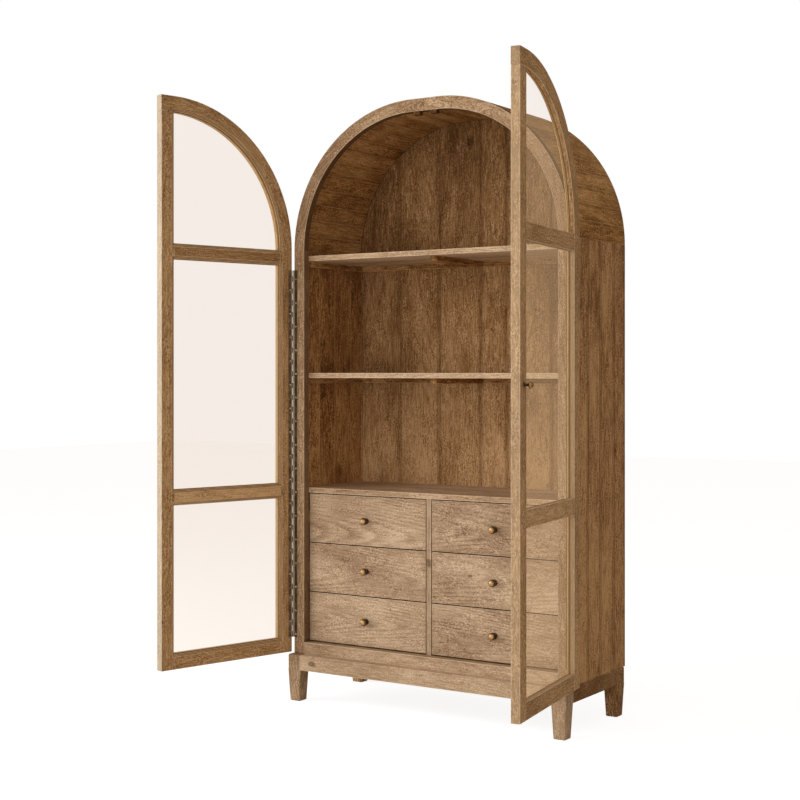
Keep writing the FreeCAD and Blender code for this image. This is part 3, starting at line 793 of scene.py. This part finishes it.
def archStations(start, end, step, side, radius):
    # Stations from one turn to another, 0 at the spring line and 90 at the crown.
    count = max(2, round(abs(end - start) / step))
    stations = []
    for i in range(count + 1):
        turn = start + (end - start) * i / count
        angle = turn if side > 0 else 180 - turn
        stations.append(archStation(angle, side * cabinet["archCentre"], radius))
    return stations


def crownStation(x, radius):
    return archStation(90, x, radius)


def addArchSegment(piece, profile, stations, ease, follow=False):
    middle = stations[len(stations) // 2]
    along = Vector((middle["along"].x, 0, middle["along"].y))
    across = Vector((middle["out"].x, 0, middle["out"].y))
    addBoard(piece, sweepBoard(profile, stations), ease=ease,
             curve={"along": along, "across": across, "follow": follow})


frontArch = {"step": 1.5, "cuts": (0, 33, 64, 90), "ease": mm(1.2)}
ringProfile = [(0, cabinet["caseFront"]), (0, cabinet["frameRear"]),
               (-cabinet["frontFrame"], cabinet["frameRear"]), (-cabinet["frontFrame"], cabinet["caseFront"])]
piece = newPiece()
for side in (-1, 1):
    cuts = frontArch["cuts"]
    for start, end in zip(cuts, cuts[1:]):
        stations = archStations(start, end, frontArch["step"], side, cabinet["archRadius"])
        if end == 90:
            stations.append(crownStation(0, cabinet["archRadius"]))
        addArchSegment(piece, ringProfile, stations, frontArch["ease"])
finishPiece(piece, "frontArchSegments", "arch", "cabinet", ["front_arch"])
print("front arch made")


# Vault: staves laid side by side round the arch, made by a node tree.

socketKinds = {int: "NodeSocketInt", float: "NodeSocketFloat", tuple: "NodeSocketVector"}


def newTree(name, values):
    # A geometry tree with an input for each value, and the names by which a modifier knows them.
    tree = bpy.data.node_groups.new(name, "GeometryNodeTree")
    for way in ("INPUT", "OUTPUT"):
        tree.interface.new_socket("Geometry", in_out=way, socket_type="NodeSocketGeometry")
    names = {}
    for label, value in values.items():
        socket = tree.interface.new_socket(label, in_out="INPUT", socket_type=socketKinds[type(value)])
        socket.default_value = value
        names[label] = socket.identifier
    return tree, names, put(tree, "NodeGroupInput").outputs


def onPoints(tree, points, instance, turns):
    rotation = put(tree, "FunctionNodeEulerToRotation", {0: join(tree, *turns)}).outputs[0]
    return put(tree, "GeometryNodeInstanceOnPoints", {
        "Points": points, "Instance": instance, "Rotation": rotation}).outputs[0]


def finishTree(tree, instances, material):
    solid = put(tree, "GeometryNodeRealizeInstances", {"Geometry": instances}).outputs[0]
    solid = put(tree, "GeometryNodeSetMaterial", {"Geometry": solid, "Material": material}).outputs[0]
    put(tree, "NodeGroupOutput", {0: solid})


def storeVector(tree, geometry, name, value, domain="POINT"):
    return put(tree, "GeometryNodeStoreNamedAttribute", {"Geometry": geometry, "Name": name, "Value": value},
               data_type="FLOAT_VECTOR", domain=domain).outputs[0]


vaultSizes = {
    "Radius": cabinet["archRadius"], "Half Flat": cabinet["archCentre"], "Spring": cabinet["spring"],
    "Thickness": cabinet["sideThickness"], "Front": cabinet["frameRear"], "Rear": cabinet["caseRear"],
    "Staves": 13, "Seed": 5,
}
staveFigure = {
    "ease": mm(0.7), "curvePoints": 5, "flatStaves": 2, "seedShifts": (0, 7, 13),
    "leastMark": (0.0, -1.0, 0.02), "mostMark": (1.0, 1.0, 0.09),
}


def vaultTree():
    tree, names, given = newTree("vaultStaves", vaultSizes)
    radius, halfFlat, thickness = given["Radius"], given["Half Flat"], given["Thickness"]
    staves = given["Staves"]
    depth = minus(tree, given["Rear"], given["Front"])
    depthMiddle = times(tree, calc(tree, "ADD", given["Rear"], given["Front"]), 0.5)
    turn = calc(tree, "DIVIDE", math.pi / 2, staves)

    def staveMesh(width, bent):
        geometry = put(tree, "GeometryNodeMeshCube", {
            "Size": (1, 1, 1), "Vertices X": staveFigure["curvePoints"] if bent else 2}).outputs["Mesh"]
        unit = split(tree, put(tree, "GeometryNodeInputPosition").outputs[0])
        across, deep, thick = (times(tree, unit[i], size) for i, size in enumerate((width, depth, thickness)))
        board = join(tree, deep, across, thick)
        half = join(tree, *(times(tree, size, 0.5) for size in (depth, width, thickness)))
        for name, value in (("grainAt", board), ("edgeAt", board), ("boardHalf", half)):
            geometry = storeVector(tree, geometry, name, value)
        reach = calc(tree, "ADD", radius, minus(tree, thick, times(tree, thickness, 0.5)))
        x, z = across, reach
        if bent:
            angle = times(tree, unit[0], turn)
            x, z = (times(tree, reach, calc(tree, way, angle)) for way in ("SINE", "COSINE"))
        place = join(tree, x, calc(tree, "ADD", deep, depthMiddle), z)
        return put(tree, "GeometryNodeSetPosition", {"Geometry": geometry, "Position": place}).outputs[0]

    def row(stave, count, centreX, stepTurn, stepX, seedShift):
        points = put(tree, "GeometryNodePoints", {"Count": count}).outputs[0]
        index = calc(tree, "ADD", put(tree, "GeometryNodeInputIndex").outputs[0], 0.5)
        place = join(tree, plus(tree, centreX, index, stepX), 0.0, given["Spring"])
        points = put(tree, "GeometryNodeSetPosition", {"Geometry": points, "Position": place}).outputs[0]
        placed = onPoints(tree, points, stave, (0.0, times(tree, index, stepTurn), 0.0))
        lot = put(tree, "FunctionNodeRandomValue", {
            0: staveFigure["leastMark"], 1: staveFigure["mostMark"],
            "Seed": calc(tree, "ADD", given["Seed"], seedShift)}, data_type="FLOAT_VECTOR").outputs[0]
        return storeVector(tree, placed, "boardMark", lot, "INSTANCE")

    bent, flat = staveMesh(times(tree, turn, radius), True), staveMesh(halfFlat, False)
    leftCentre, backTurn = times(tree, halfFlat, -1.0), times(tree, turn, -1.0)
    shifts = staveFigure["seedShifts"]
    rows = [
        row(bent, staves, leftCentre, backTurn, 0.0, shifts[0]),
        row(flat, staveFigure["flatStaves"], leftCentre, 0.0, halfFlat, shifts[1]),
        row(bent, staves, halfFlat, turn, 0.0, shifts[2]),
    ]
    joined = put(tree, "GeometryNodeJoinGeometry")
    for made in reversed(rows):
        tree.links.new(made, joined.inputs[0])
    finishTree(tree, joined.outputs[0], woods["vault"])
    return tree, names


def bakeTree(name, tree, names, values, ease=0.0):
    # Runs a node tree on an empty mesh and keeps the result as a plain mesh.
    holder = addObject(name + "Holder", bpy.data.meshes.new(name + "Holder"))
    modifier = holder.modifiers.new("nodes", "NODES")
    modifier.node_group = tree
    for label, value in values.items():
        modifier[names[label]] = value
    if ease:
        bevel = holder.modifiers.new("ease", "BEVEL")
        bevel.width, bevel.segments, bevel.limit_method = ease, 1, "ANGLE"
        bevel.angle_limit = math.radians(40)
    evaluated = holder.evaluated_get(bpy.context.evaluated_depsgraph_get())
    mesh = bpy.data.meshes.new_from_object(evaluated)
    mesh.name = name
    bpy.data.objects.remove(holder)
    return addObject(name, mesh)


def smoothBroad(mesh):
    # Smooth within a curved face, sharp at every corner and narrow chamfer.
    shape = bmesh.new()
    shape.from_mesh(mesh)
    for face in shape.faces:
        face.smooth = True
    for edge in shape.edges:
        if len(edge.link_faces) == 2:
            edge.smooth = edge.calc_face_angle(0) < edging["staveSharp"]
    shape.to_mesh(mesh)
    shape.free()


tree, names = vaultTree()
vault = bakeTree("vaultStaves", tree, names, vaultSizes, staveFigure["ease"])
smoothBroad(vault.data)
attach(vault, "cabinet")
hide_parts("vault")
print("vault made,", len(vault.data.polygons), "faces")

# Doors.

door = {
    "ease": mm(1.1), "railCuts": (0, 38, 68, 90), "step": 1.5, "rebateEnd": 0.043, "lipStep": mm(1),
    "hingeTone": 0.2, "railTones": {"left": (0.1, 2.6, -0.3), "right": (0.1, 1.0, 0.0)},
}
sides = {"left": -1, "right": 1}
openingRadius = cabinet["archRadius"] - cabinet["doorMember"]
lipStart = cabinet["doorMember"] - cabinet["rebate"]
railProfile = [
    (0, cabinet["doorOuter"]), (0, cabinet["doorInner"]), (-lipStart, cabinet["doorInner"]),
    (-lipStart, cabinet["glassFront"]), (-cabinet["doorMember"], cabinet["glassFront"]),
    (-cabinet["doorMember"], cabinet["doorOuter"]),
]
solidProfile = railProfile[:3] + [
    (-lipStart - door["lipStep"], cabinet["doorInner"]), (-cabinet["doorMember"], cabinet["doorInner"]),
    railProfile[5],
]
beadSizes = {
    "foot": mm(2.6), "step": mm(1.2), "stepTop": mm(2.9), "roundWidth": mm(6.4), "roundRise": mm(5.9),
    "roundPoints": 6, "flat": mm(8),
}


def beadProfile():
    # A stepped quarter round that holds the glass: outward from the opening, and depth.
    width, low, high = cabinet["rebate"], cabinet["glassRear"], cabinet["beadRear"]
    step, rise = beadSizes["step"], low + beadSizes["stepTop"]
    points = [(0, low), (0, low + beadSizes["foot"]), (step, rise)]
    for i in range(1, beadSizes["roundPoints"] + 1):
        turn = math.radians(90 * i / beadSizes["roundPoints"])
        points.append((step + beadSizes["roundWidth"] * (1 - math.cos(turn)),
                       rise + beadSizes["roundRise"] * math.sin(turn)))
    return points + [(beadSizes["flat"], high), (width, high), (width, low)]


def mitredStations(start, end, out):
    # Two ends of a straight run, in the upright plane, with mitres that open outward.
    along = (end - start).normalized()
    return [{"place": start, "out": out, "along": along, "slope": -1.0},
            {"place": end, "out": out, "along": along, "slope": 1.0}]


def addBeads(piece, side):
    profile = beadProfile()
    outer = side * (cabinet["caseHalf"] - cabinet["doorMember"])
    inner = side * (cabinet["doorEdge"] + cabinet["doorMember"])
    halfRail = cabinet["crossRail"] / 2
    panes = [(cabinet["doorLow"] + cabinet["doorMember"], cabinet["lowerRailMiddle"] - halfRail),
             (cabinet["lowerRailMiddle"] + halfRail, cabinet["spring"] - cabinet["crossRail"])]
    runs = []
    for low, high in panes:
        corners = [Vector(corner) for corner in ((outer, low), (inner, low), (inner, high), (outer, high))]
        middle = Vector(((outer + inner) / 2, (low + high) / 2))
        for start, end in zip(corners, corners[1:] + corners[:1]):
            line = (end - start).normalized()
            out = (start + end) / 2 - middle
            runs.append((start, end, (out - line * out.dot(line)).normalized()))
    spring = cabinet["spring"]
    foot, corner = Vector((outer, spring)), Vector((inner, spring))
    peak = Vector((inner, spring + openingRadius))
    runs += [(foot, corner, Vector((0, -1))), (corner, peak, Vector((-side, 0)))]
    for start, end, out in runs:
        addArchSegment(piece, profile, mitredStations(start, end, out), 0.0, follow=True)
    arc = archStations(0, 90, door["step"], side, openingRadius)
    for station in arc:
        if side < 0:
            station["along"] = -station["along"]
    arc[0]["slope"] = -1.0
    last = {**crownStation(inner, openingRadius), "along": Vector((-side, 0)), "slope": 1.0}
    addArchSegment(piece, profile, arc + [last], 0.0, follow=True)


def coverNode(nodeName, material):
    # A CAD piece that shows as it is.
    materials = cadNodes[nodeName].data.materials
    materials.clear()
    materials.append(material)


for name, side in sides.items():
    body = name + "_door"
    dress(body + "_hinge_stile", "door", body, side, grain=2, ease=door["ease"],
          marks={0: {"tone": door["hingeTone"]}})
    dress(body + "_meeting_stile", name + "MeetingStile", body, side, grain=2, ease=door["ease"])
    dress(body + "_cross_rails", "door", body, side, grain=0, ease=door["ease"],
          marks={i: {"tone": tone} for i, tone in enumerate(door["railTones"][name])})
    piece = newPiece()
    cuts = door["railCuts"]
    for start, end in zip(cuts, cuts[1:]):
        stations = archStations(start, end, door["step"], side, cabinet["archRadius"])
        if end == 90:
            # Over the meeting stile the rail is solid, without its rebate.
            stations.append(crownStation(side * door["rebateEnd"], cabinet["archRadius"]))
            for x in (door["rebateEnd"], cabinet["doorEdge"]):
                stations.append({**crownStation(side * x, cabinet["archRadius"]), "profile": solidProfile})
        addArchSegment(piece, railProfile, stations, door["ease"])
    finishPiece(piece, name + "DoorArchRail", name + "DoorArch", body, [body + "_arch_rail"], side)
    piece = newPiece()
    addBeads(piece, side)
    finishPiece(piece, name + "DoorBeads", "bead", body, [body + "_glazing_beads"], side)
    coverNode(body + "_glass", glass)
print("doors dressed")

# Drawers.

drawers = {
    "rows": ("upper", "middle", "lower"), "ease": mm(1.4), "boxEase": mm(0.6),
    "marks": {
        ("left", "upper"): {"tone": 0.1}, ("right", "upper"): {"tone": -0.5},
        # The left middle drawer is toned darker: painted shade cast on it by the open drawer.
        ("left", "middle"): {"tone": -0.2},
        ("right", "middle"): {"tone": 0.0, "knot": (-0.095, 0.016, 0.006)},
        ("left", "lower"): {"tone": 0.5}, ("right", "lower"): {"tone": -0.1},
    },
}
for name in sides:
    for rowName in drawers["rows"]:
        drawerName = "drawer_" + name + "_" + rowName
        dress(drawerName + "_front", "drawerFront", drawerName, grain=0, ease=drawers["ease"],
              marks={0: drawers["marks"][(name, rowName)]})
        dress(drawerName + "_box", "inner", drawerName, ease=drawers["boxEase"])
print("drawers dressed")


# Turned metal.

turned = {"steps": 40, "rubStart": 0.60, "rubWidth": 0.28}


def turnedPiece(name, profile, place, direction, metal, body, replaced, side=0):
    # A lathe profile of points in mm, each a radius, a height and its share of rubbed brightness (on a door
    # knob's rim also a painted highlight), stood at a place.
    shape = bmesh.new()
    rubAndGlint = shape.verts.layers.float.new("rubbedAndGlinting")
    rings = []
    for radius, height, worn in profile:
        ring, count = [], turned["steps"] if radius else 1
        for i in range(count):
            turn = 2 * math.pi * i / count
            vert = shape.verts.new((mm(radius) * math.cos(turn), mm(radius) * math.sin(turn), mm(height)))
            vert[rubAndGlint] = worn
            ring.append(vert)
        rings.append(ring)
    for low, high in zip(rings, rings[1:]):
        for i in range(turned["steps"]):
            j = (i + 1) % turned["steps"]
            if len(low) == 1:
                shape.faces.new((low[0], high[j], high[i]))
            elif len(high) == 1:
                shape.faces.new((low[i], low[j], high[0]))
            else:
                shape.faces.new((low[i], low[j], high[j], high[i]))
    bmesh.ops.recalc_face_normals(shape, faces=shape.faces)
    for face in shape.faces:
        face.smooth = True
    for edge in shape.edges:
        edge.smooth = edge.calc_face_angle(0) < edging["turnedSharp"]
    turn = Vector((0, 0, 1)).rotation_difference(Vector(direction)).to_matrix().to_4x4()
    bmesh.ops.transform(shape, matrix=Matrix.Translation(place) @ turn, verts=shape.verts)
    if side:
        bmesh.ops.transform(shape, matrix=doorTurn(side), verts=shape.verts)
    mesh = bpy.data.meshes.new(name)
    shape.to_mesh(mesh)
    shape.free()
    mesh.materials.append(metals[metal])
    made = addObject(name, mesh)
    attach(made, body)
    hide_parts(replaced)


def ballPoints(centre, radius, start, end, count):
    # Points of a ball between two turns measured from its pole, foot first, rubbed towards its top.
    points = []
    for i in range(count + 1):
        share = i / count
        turn = math.radians(start + (end - start) * share)
        worn = min(1, max(0, (share - turned["rubStart"]) / turned["rubWidth"]))
        points.append((radius * math.sin(turn), centre - radius * math.cos(turn), worn))
    return points


knobs = {
    "drawer": [(0, 0, 0), (11, 0, 0.0), (11, 1.6, 0.2), (10.4, 2.4, 0.1), (9.2, 2.6, 0.0), (8.6, 3.0, 0.1),
               (6.4, 3.3, 0.0), (5.2, 3.8, 0.0), (4.6, 4.8, 0.0), (4.6, 5.4, 0.0), (5.4, 6.0, 0.2)]
              + ballPoints(17.0, 12.9, 28, 168, 16) + [(1.6, 29.8, 1.0), (0, 29.9, 1.0)],
    # The door knob's rim is rubbed bright, which also paints in the highlight its dome catches.
    "door": [(0, 0, 0), (8.5, 0, 0.1), (8.5, 1.3, 0.5), (7.6, 2.2, 0.1), (5.6, 2.9, 0.0), (4.5, 4.6, 0.0),
             (4.1, 8, 0.1), (4.1, 12, 0.1), (4.7, 15, 0.0), (6.6, 17.0, 0.0), (9.4, 18.6, 0.0),
             (11.0, 20.0, 0.2), (11.4, 21.2, 0.6), (11.1, 22.8, 1.0), (10.0, 24.8, 0.9), (8.2, 26.7, 0.5),
             (5.8, 28.4, 0.2), (3.0, 29.5, 0.1), (0, 29.8, 0.1)],
    "strike": [(0, 0, 0), (7.5, 0, 0.1), (7.5, 1.1, 0.4), (7.0, 1.6, 0.2), (5.2, 1.6, 0.0), (4.9, 2.2, 0.0),
               (4.9, 7.6, 0.3), (4.3, 8.5, 0.7), (2.8, 8.95, 0.6), (0, 9.0, 0.5)],
}
knobPlaces = {"doorKnobEdge": 0.030, "doorKnobHeight": 1.152, "strikeEdge": 0.033, "strikeHeight": 2.077}
for name, side in sides.items():
    body = name + "_door"
    knobX = side * (cabinet["doorEdge"] + knobPlaces["doorKnobEdge"])
    strikeX = side * (cabinet["doorEdge"] + knobPlaces["strikeEdge"])
    turnedPiece(name + "DoorKnob", knobs["door"], (knobX, cabinet["doorOuter"], knobPlaces["doorKnobHeight"]),
                (0, -1, 0), "doorKnobBronze", body, body + "_knob", side)
    turnedPiece(name + "DoorStrike", knobs["strike"],
                (strikeX, cabinet["doorInner"], knobPlaces["strikeHeight"]),
                (0, 1, 0), "strikeBrass", body, body + "_strike", side)
    for rowName in drawers["rows"]:
        drawerName = "drawer_" + name + "_" + rowName
        knobLow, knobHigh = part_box(drawerName + "_knob")
        turnedPiece(name + rowName.capitalize() + "DrawerKnob", knobs["drawer"],
                    ((knobLow.x + knobHigh.x) / 2, knobHigh.y, (knobLow.z + knobHigh.z) / 2),
                    (0, -1, 0), "drawerKnobBrass", drawerName, drawerName + "_knob")
    coverNode(name + "_hinge_frame_leaf", metals["shadedHingeFrameLeaf"])
    coverNode(name + "_door_hinge_leaf", metals["litHingeDoorLeaf"])
coverNode("door_catches", metals["catchSteel"])
print("knobs and strikes turned")


# Hinge screws, by a node tree.

screwSizes = {
    "Start": (0.0, 0.0, 0.0), "End": (0.0, 0.0, 1.0), "Count": 16, "Head Radius": mm(3.0),
    "Head Rise": mm(0.7), "Slot Width": mm(0.9), "Seed": 3,
}
screwFigure = {"corners": 14, "topShare": 0.78, "slotShare": 1.25, "mostSpin": 6.28}


def screwTree():
    tree, names, given = newTree("screwRow", screwSizes)
    radius, rise, slotWidth = given["Head Radius"], given["Head Rise"], given["Slot Width"]
    head = put(tree, "GeometryNodeMeshCone", {
        "Vertices": screwFigure["corners"], "Radius Top": times(tree, radius, screwFigure["topShare"]),
        "Radius Bottom": radius, "Depth": rise}).outputs[0]
    length = times(tree, radius, screwFigure["slotShare"])
    cross = put(tree, "GeometryNodeMeshBoolean", operation="UNION")
    for size in ((length, slotWidth), (slotWidth, length)):
        bar = put(tree, "GeometryNodeMeshCube", {"Size": join(tree, *size, rise)}).outputs[0]
        tree.links.new(bar, cross.inputs["Mesh 2"])
    lifted = put(tree, "GeometryNodeTransform", {
        "Geometry": cross.outputs[0], "Translation": join(tree, 0.0, 0.0, rise)}).outputs[0]
    cut = put(tree, "GeometryNodeMeshBoolean", {"Mesh 1": head}, operation="DIFFERENCE")
    tree.links.new(lifted, cut.inputs["Mesh 2"])
    line = put(tree, "GeometryNodeMeshLine", {
        "Count": given["Count"], "Start Location": given["Start"], "Offset": given["End"]},
        mode="END_POINTS").outputs[0]
    spin = put(tree, "FunctionNodeRandomValue", {2: 0.0, 3: screwFigure["mostSpin"], "Seed": given["Seed"]},
               data_type="FLOAT").outputs[1]
    finishTree(tree, onPoints(tree, line, cut.outputs[0], (math.pi / 2, spin, 0.0)), metals["screwBrass"])
    return tree, names


screwRows = {
    "leaf": mm(1.6),
    "Frame": {"inset": mm(8.3), "low": 0.2355, "high": 1.5270, "count": 16},
    "Door": {"inset": mm(9.0), "low": 0.2822, "high": 1.4876, "count": 15},
}
tree, names = screwTree()
for name, side in sides.items():
    for where, face, body in (("Frame", cabinet["caseFront"] - screwRows["leaf"], "cabinet"),
                              ("Door", cabinet["doorInner"] + screwRows["leaf"], name + "_door")):
        row = screwRows[where]
        x = side * (cabinet["caseHalf"] - row["inset"])
        values = {"Count": row["count"], "Start": (x, face, row["low"]), "End": (x, face, row["high"])}
        made = bakeTree(name + where + "LeafScrews", tree, names, {**screwSizes, **values})
        if where == "Door":
            # The tree's heads face the front; a door leaf's face the rear while it is shut.
            made.data.transform(Matrix.Translation((0, face, 0)) @ Matrix.Scale(-1, 4, (0, 1, 0))
                                @ Matrix.Translation((0, -face, 0)))
            made.data.flip_normals()
            made.data.transform(doorTurn(side))
        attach(made, body)
print("hinge screws set")

# Stage, lights and camera.

stage = {
    "floorSize": 30.0, "floorColour": (236, 234, 230), "floorSeen": (158, 160, 163), "glow": 0.88,
    "ambient": 0.32, "ambientColour": (1.0, 0.86, 0.70, 1.0), "white": (1.0, 1.0, 1.0, 1.0),
}
lights = {
    "keyLight": {"place": (-3.7, -5.0, 4.4), "aim": (0.0, -0.1, 1.0), "size": 2.8, "power": 125,
                 "colour": (1.0, 1.0, 1.0)},
    "fillLight": {"place": (3.4, -3.0, 2.6), "aim": (0.1, 0.0, 1.0), "size": 3.0, "power": 40,
                  "colour": (1.0, 0.92, 0.82)},
    "leftLight": {"place": (-4.5, -2.5, 1.6), "aim": (0.0, 0.0, 1.0), "size": 3.0, "power": 150,
                  "colour": (1.0, 1.0, 1.0)},
    "frontLight": {"place": (1.2, -6.2, 0.75), "aim": (0.0, 0.0, 0.8), "size": 2.6, "power": 80,
                   "colour": (1.0, 0.96, 0.90)},
}
cameraSettings = {
    "place": (2.7617, -4.5704, 1.1890), "turn": 33.141, "lens": 67.70, "sensor": 36.0,
    "shiftY": -0.0348, "reach": 100.0,
}
scene = bpy.context.scene
for name, light in lights.items():
    lamp = bpy.data.lights.new(name, "AREA")
    lamp.shape, lamp.size, lamp.energy, lamp.color = "SQUARE", light["size"], light["power"], light["colour"]
    made = addObject(name, lamp)
    made.location = light["place"]
    made.rotation_euler = (Vector(light["aim"]) - Vector(light["place"])).to_track_quat("-Z", "Y").to_euler()


def seenDirectly(tree):
    # One where the camera sees a surface directly, in a reflection or through glass.
    rays = put(tree, "ShaderNodeLightPath").outputs
    seen = calc(tree, "ADD", rays["Is Camera Ray"], rays["Is Glossy Ray"])
    return calc(tree, "ADD", seen, rays["Is Transmission Ray"], clamp=True)


world = bpy.data.worlds.new("studio")
scene.world = world
world.use_nodes = True
tree = world.node_tree
tree.nodes.clear()
ambient = put(tree, "ShaderNodeBackground", {
    "Color": stage["ambientColour"], "Strength": stage["ambient"]})
white = put(tree, "ShaderNodeBackground", {"Color": stage["white"], "Strength": 1.0})
mixed = put(tree, "ShaderNodeMixShader", {0: seenDirectly(tree), 1: ambient.outputs[0], 2: white.outputs[0]})
put(tree, "ShaderNodeOutputWorld", {0: mixed.outputs[0]})

floorMesh = bpy.data.meshes.new("studioFloor")
reach = stage["floorSize"] / 2
corners = [(-reach, -reach, 0), (reach, -reach, 0), (reach, reach, 0), (-reach, reach, 0)]
floorMesh.from_pydata(corners, [], [(0, 1, 2, 3)])
floor = addObject("studioFloor", floorMesh)
floorPaint, tree = newMaterial("studioFloor")
seen = seenDirectly(tree)
floorColour = blend(tree, seen, paint(*stage["floorColour"]), paint(*stage["floorSeen"]))
matt = put(tree, "ShaderNodeBsdfDiffuse", {"Color": floorColour})
glow = put(tree, "ShaderNodeEmission", {
    "Color": stage["white"], "Strength": times(tree, seen, stage["glow"])})
both = put(tree, "ShaderNodeAddShader", {0: matt.outputs[0], 1: glow.outputs[0]})
put(tree, "ShaderNodeOutputMaterial", {0: both.outputs[0]})
floorMesh.materials.append(floorPaint)

lens = bpy.data.cameras.new("camera")
lens.lens, lens.sensor_width, lens.sensor_fit = cameraSettings["lens"], cameraSettings["sensor"], "HORIZONTAL"
lens.shift_y = cameraSettings["shiftY"]
lens.clip_end = cameraSettings["reach"]
camera = addObject("camera", lens)
camera.location = cameraSettings["place"]
camera.rotation_euler = (math.radians(90), 0, math.radians(cameraSettings["turn"]))
scene.camera = camera
scene.view_settings.view_transform = "Standard"
print("stage, lights and camera set")
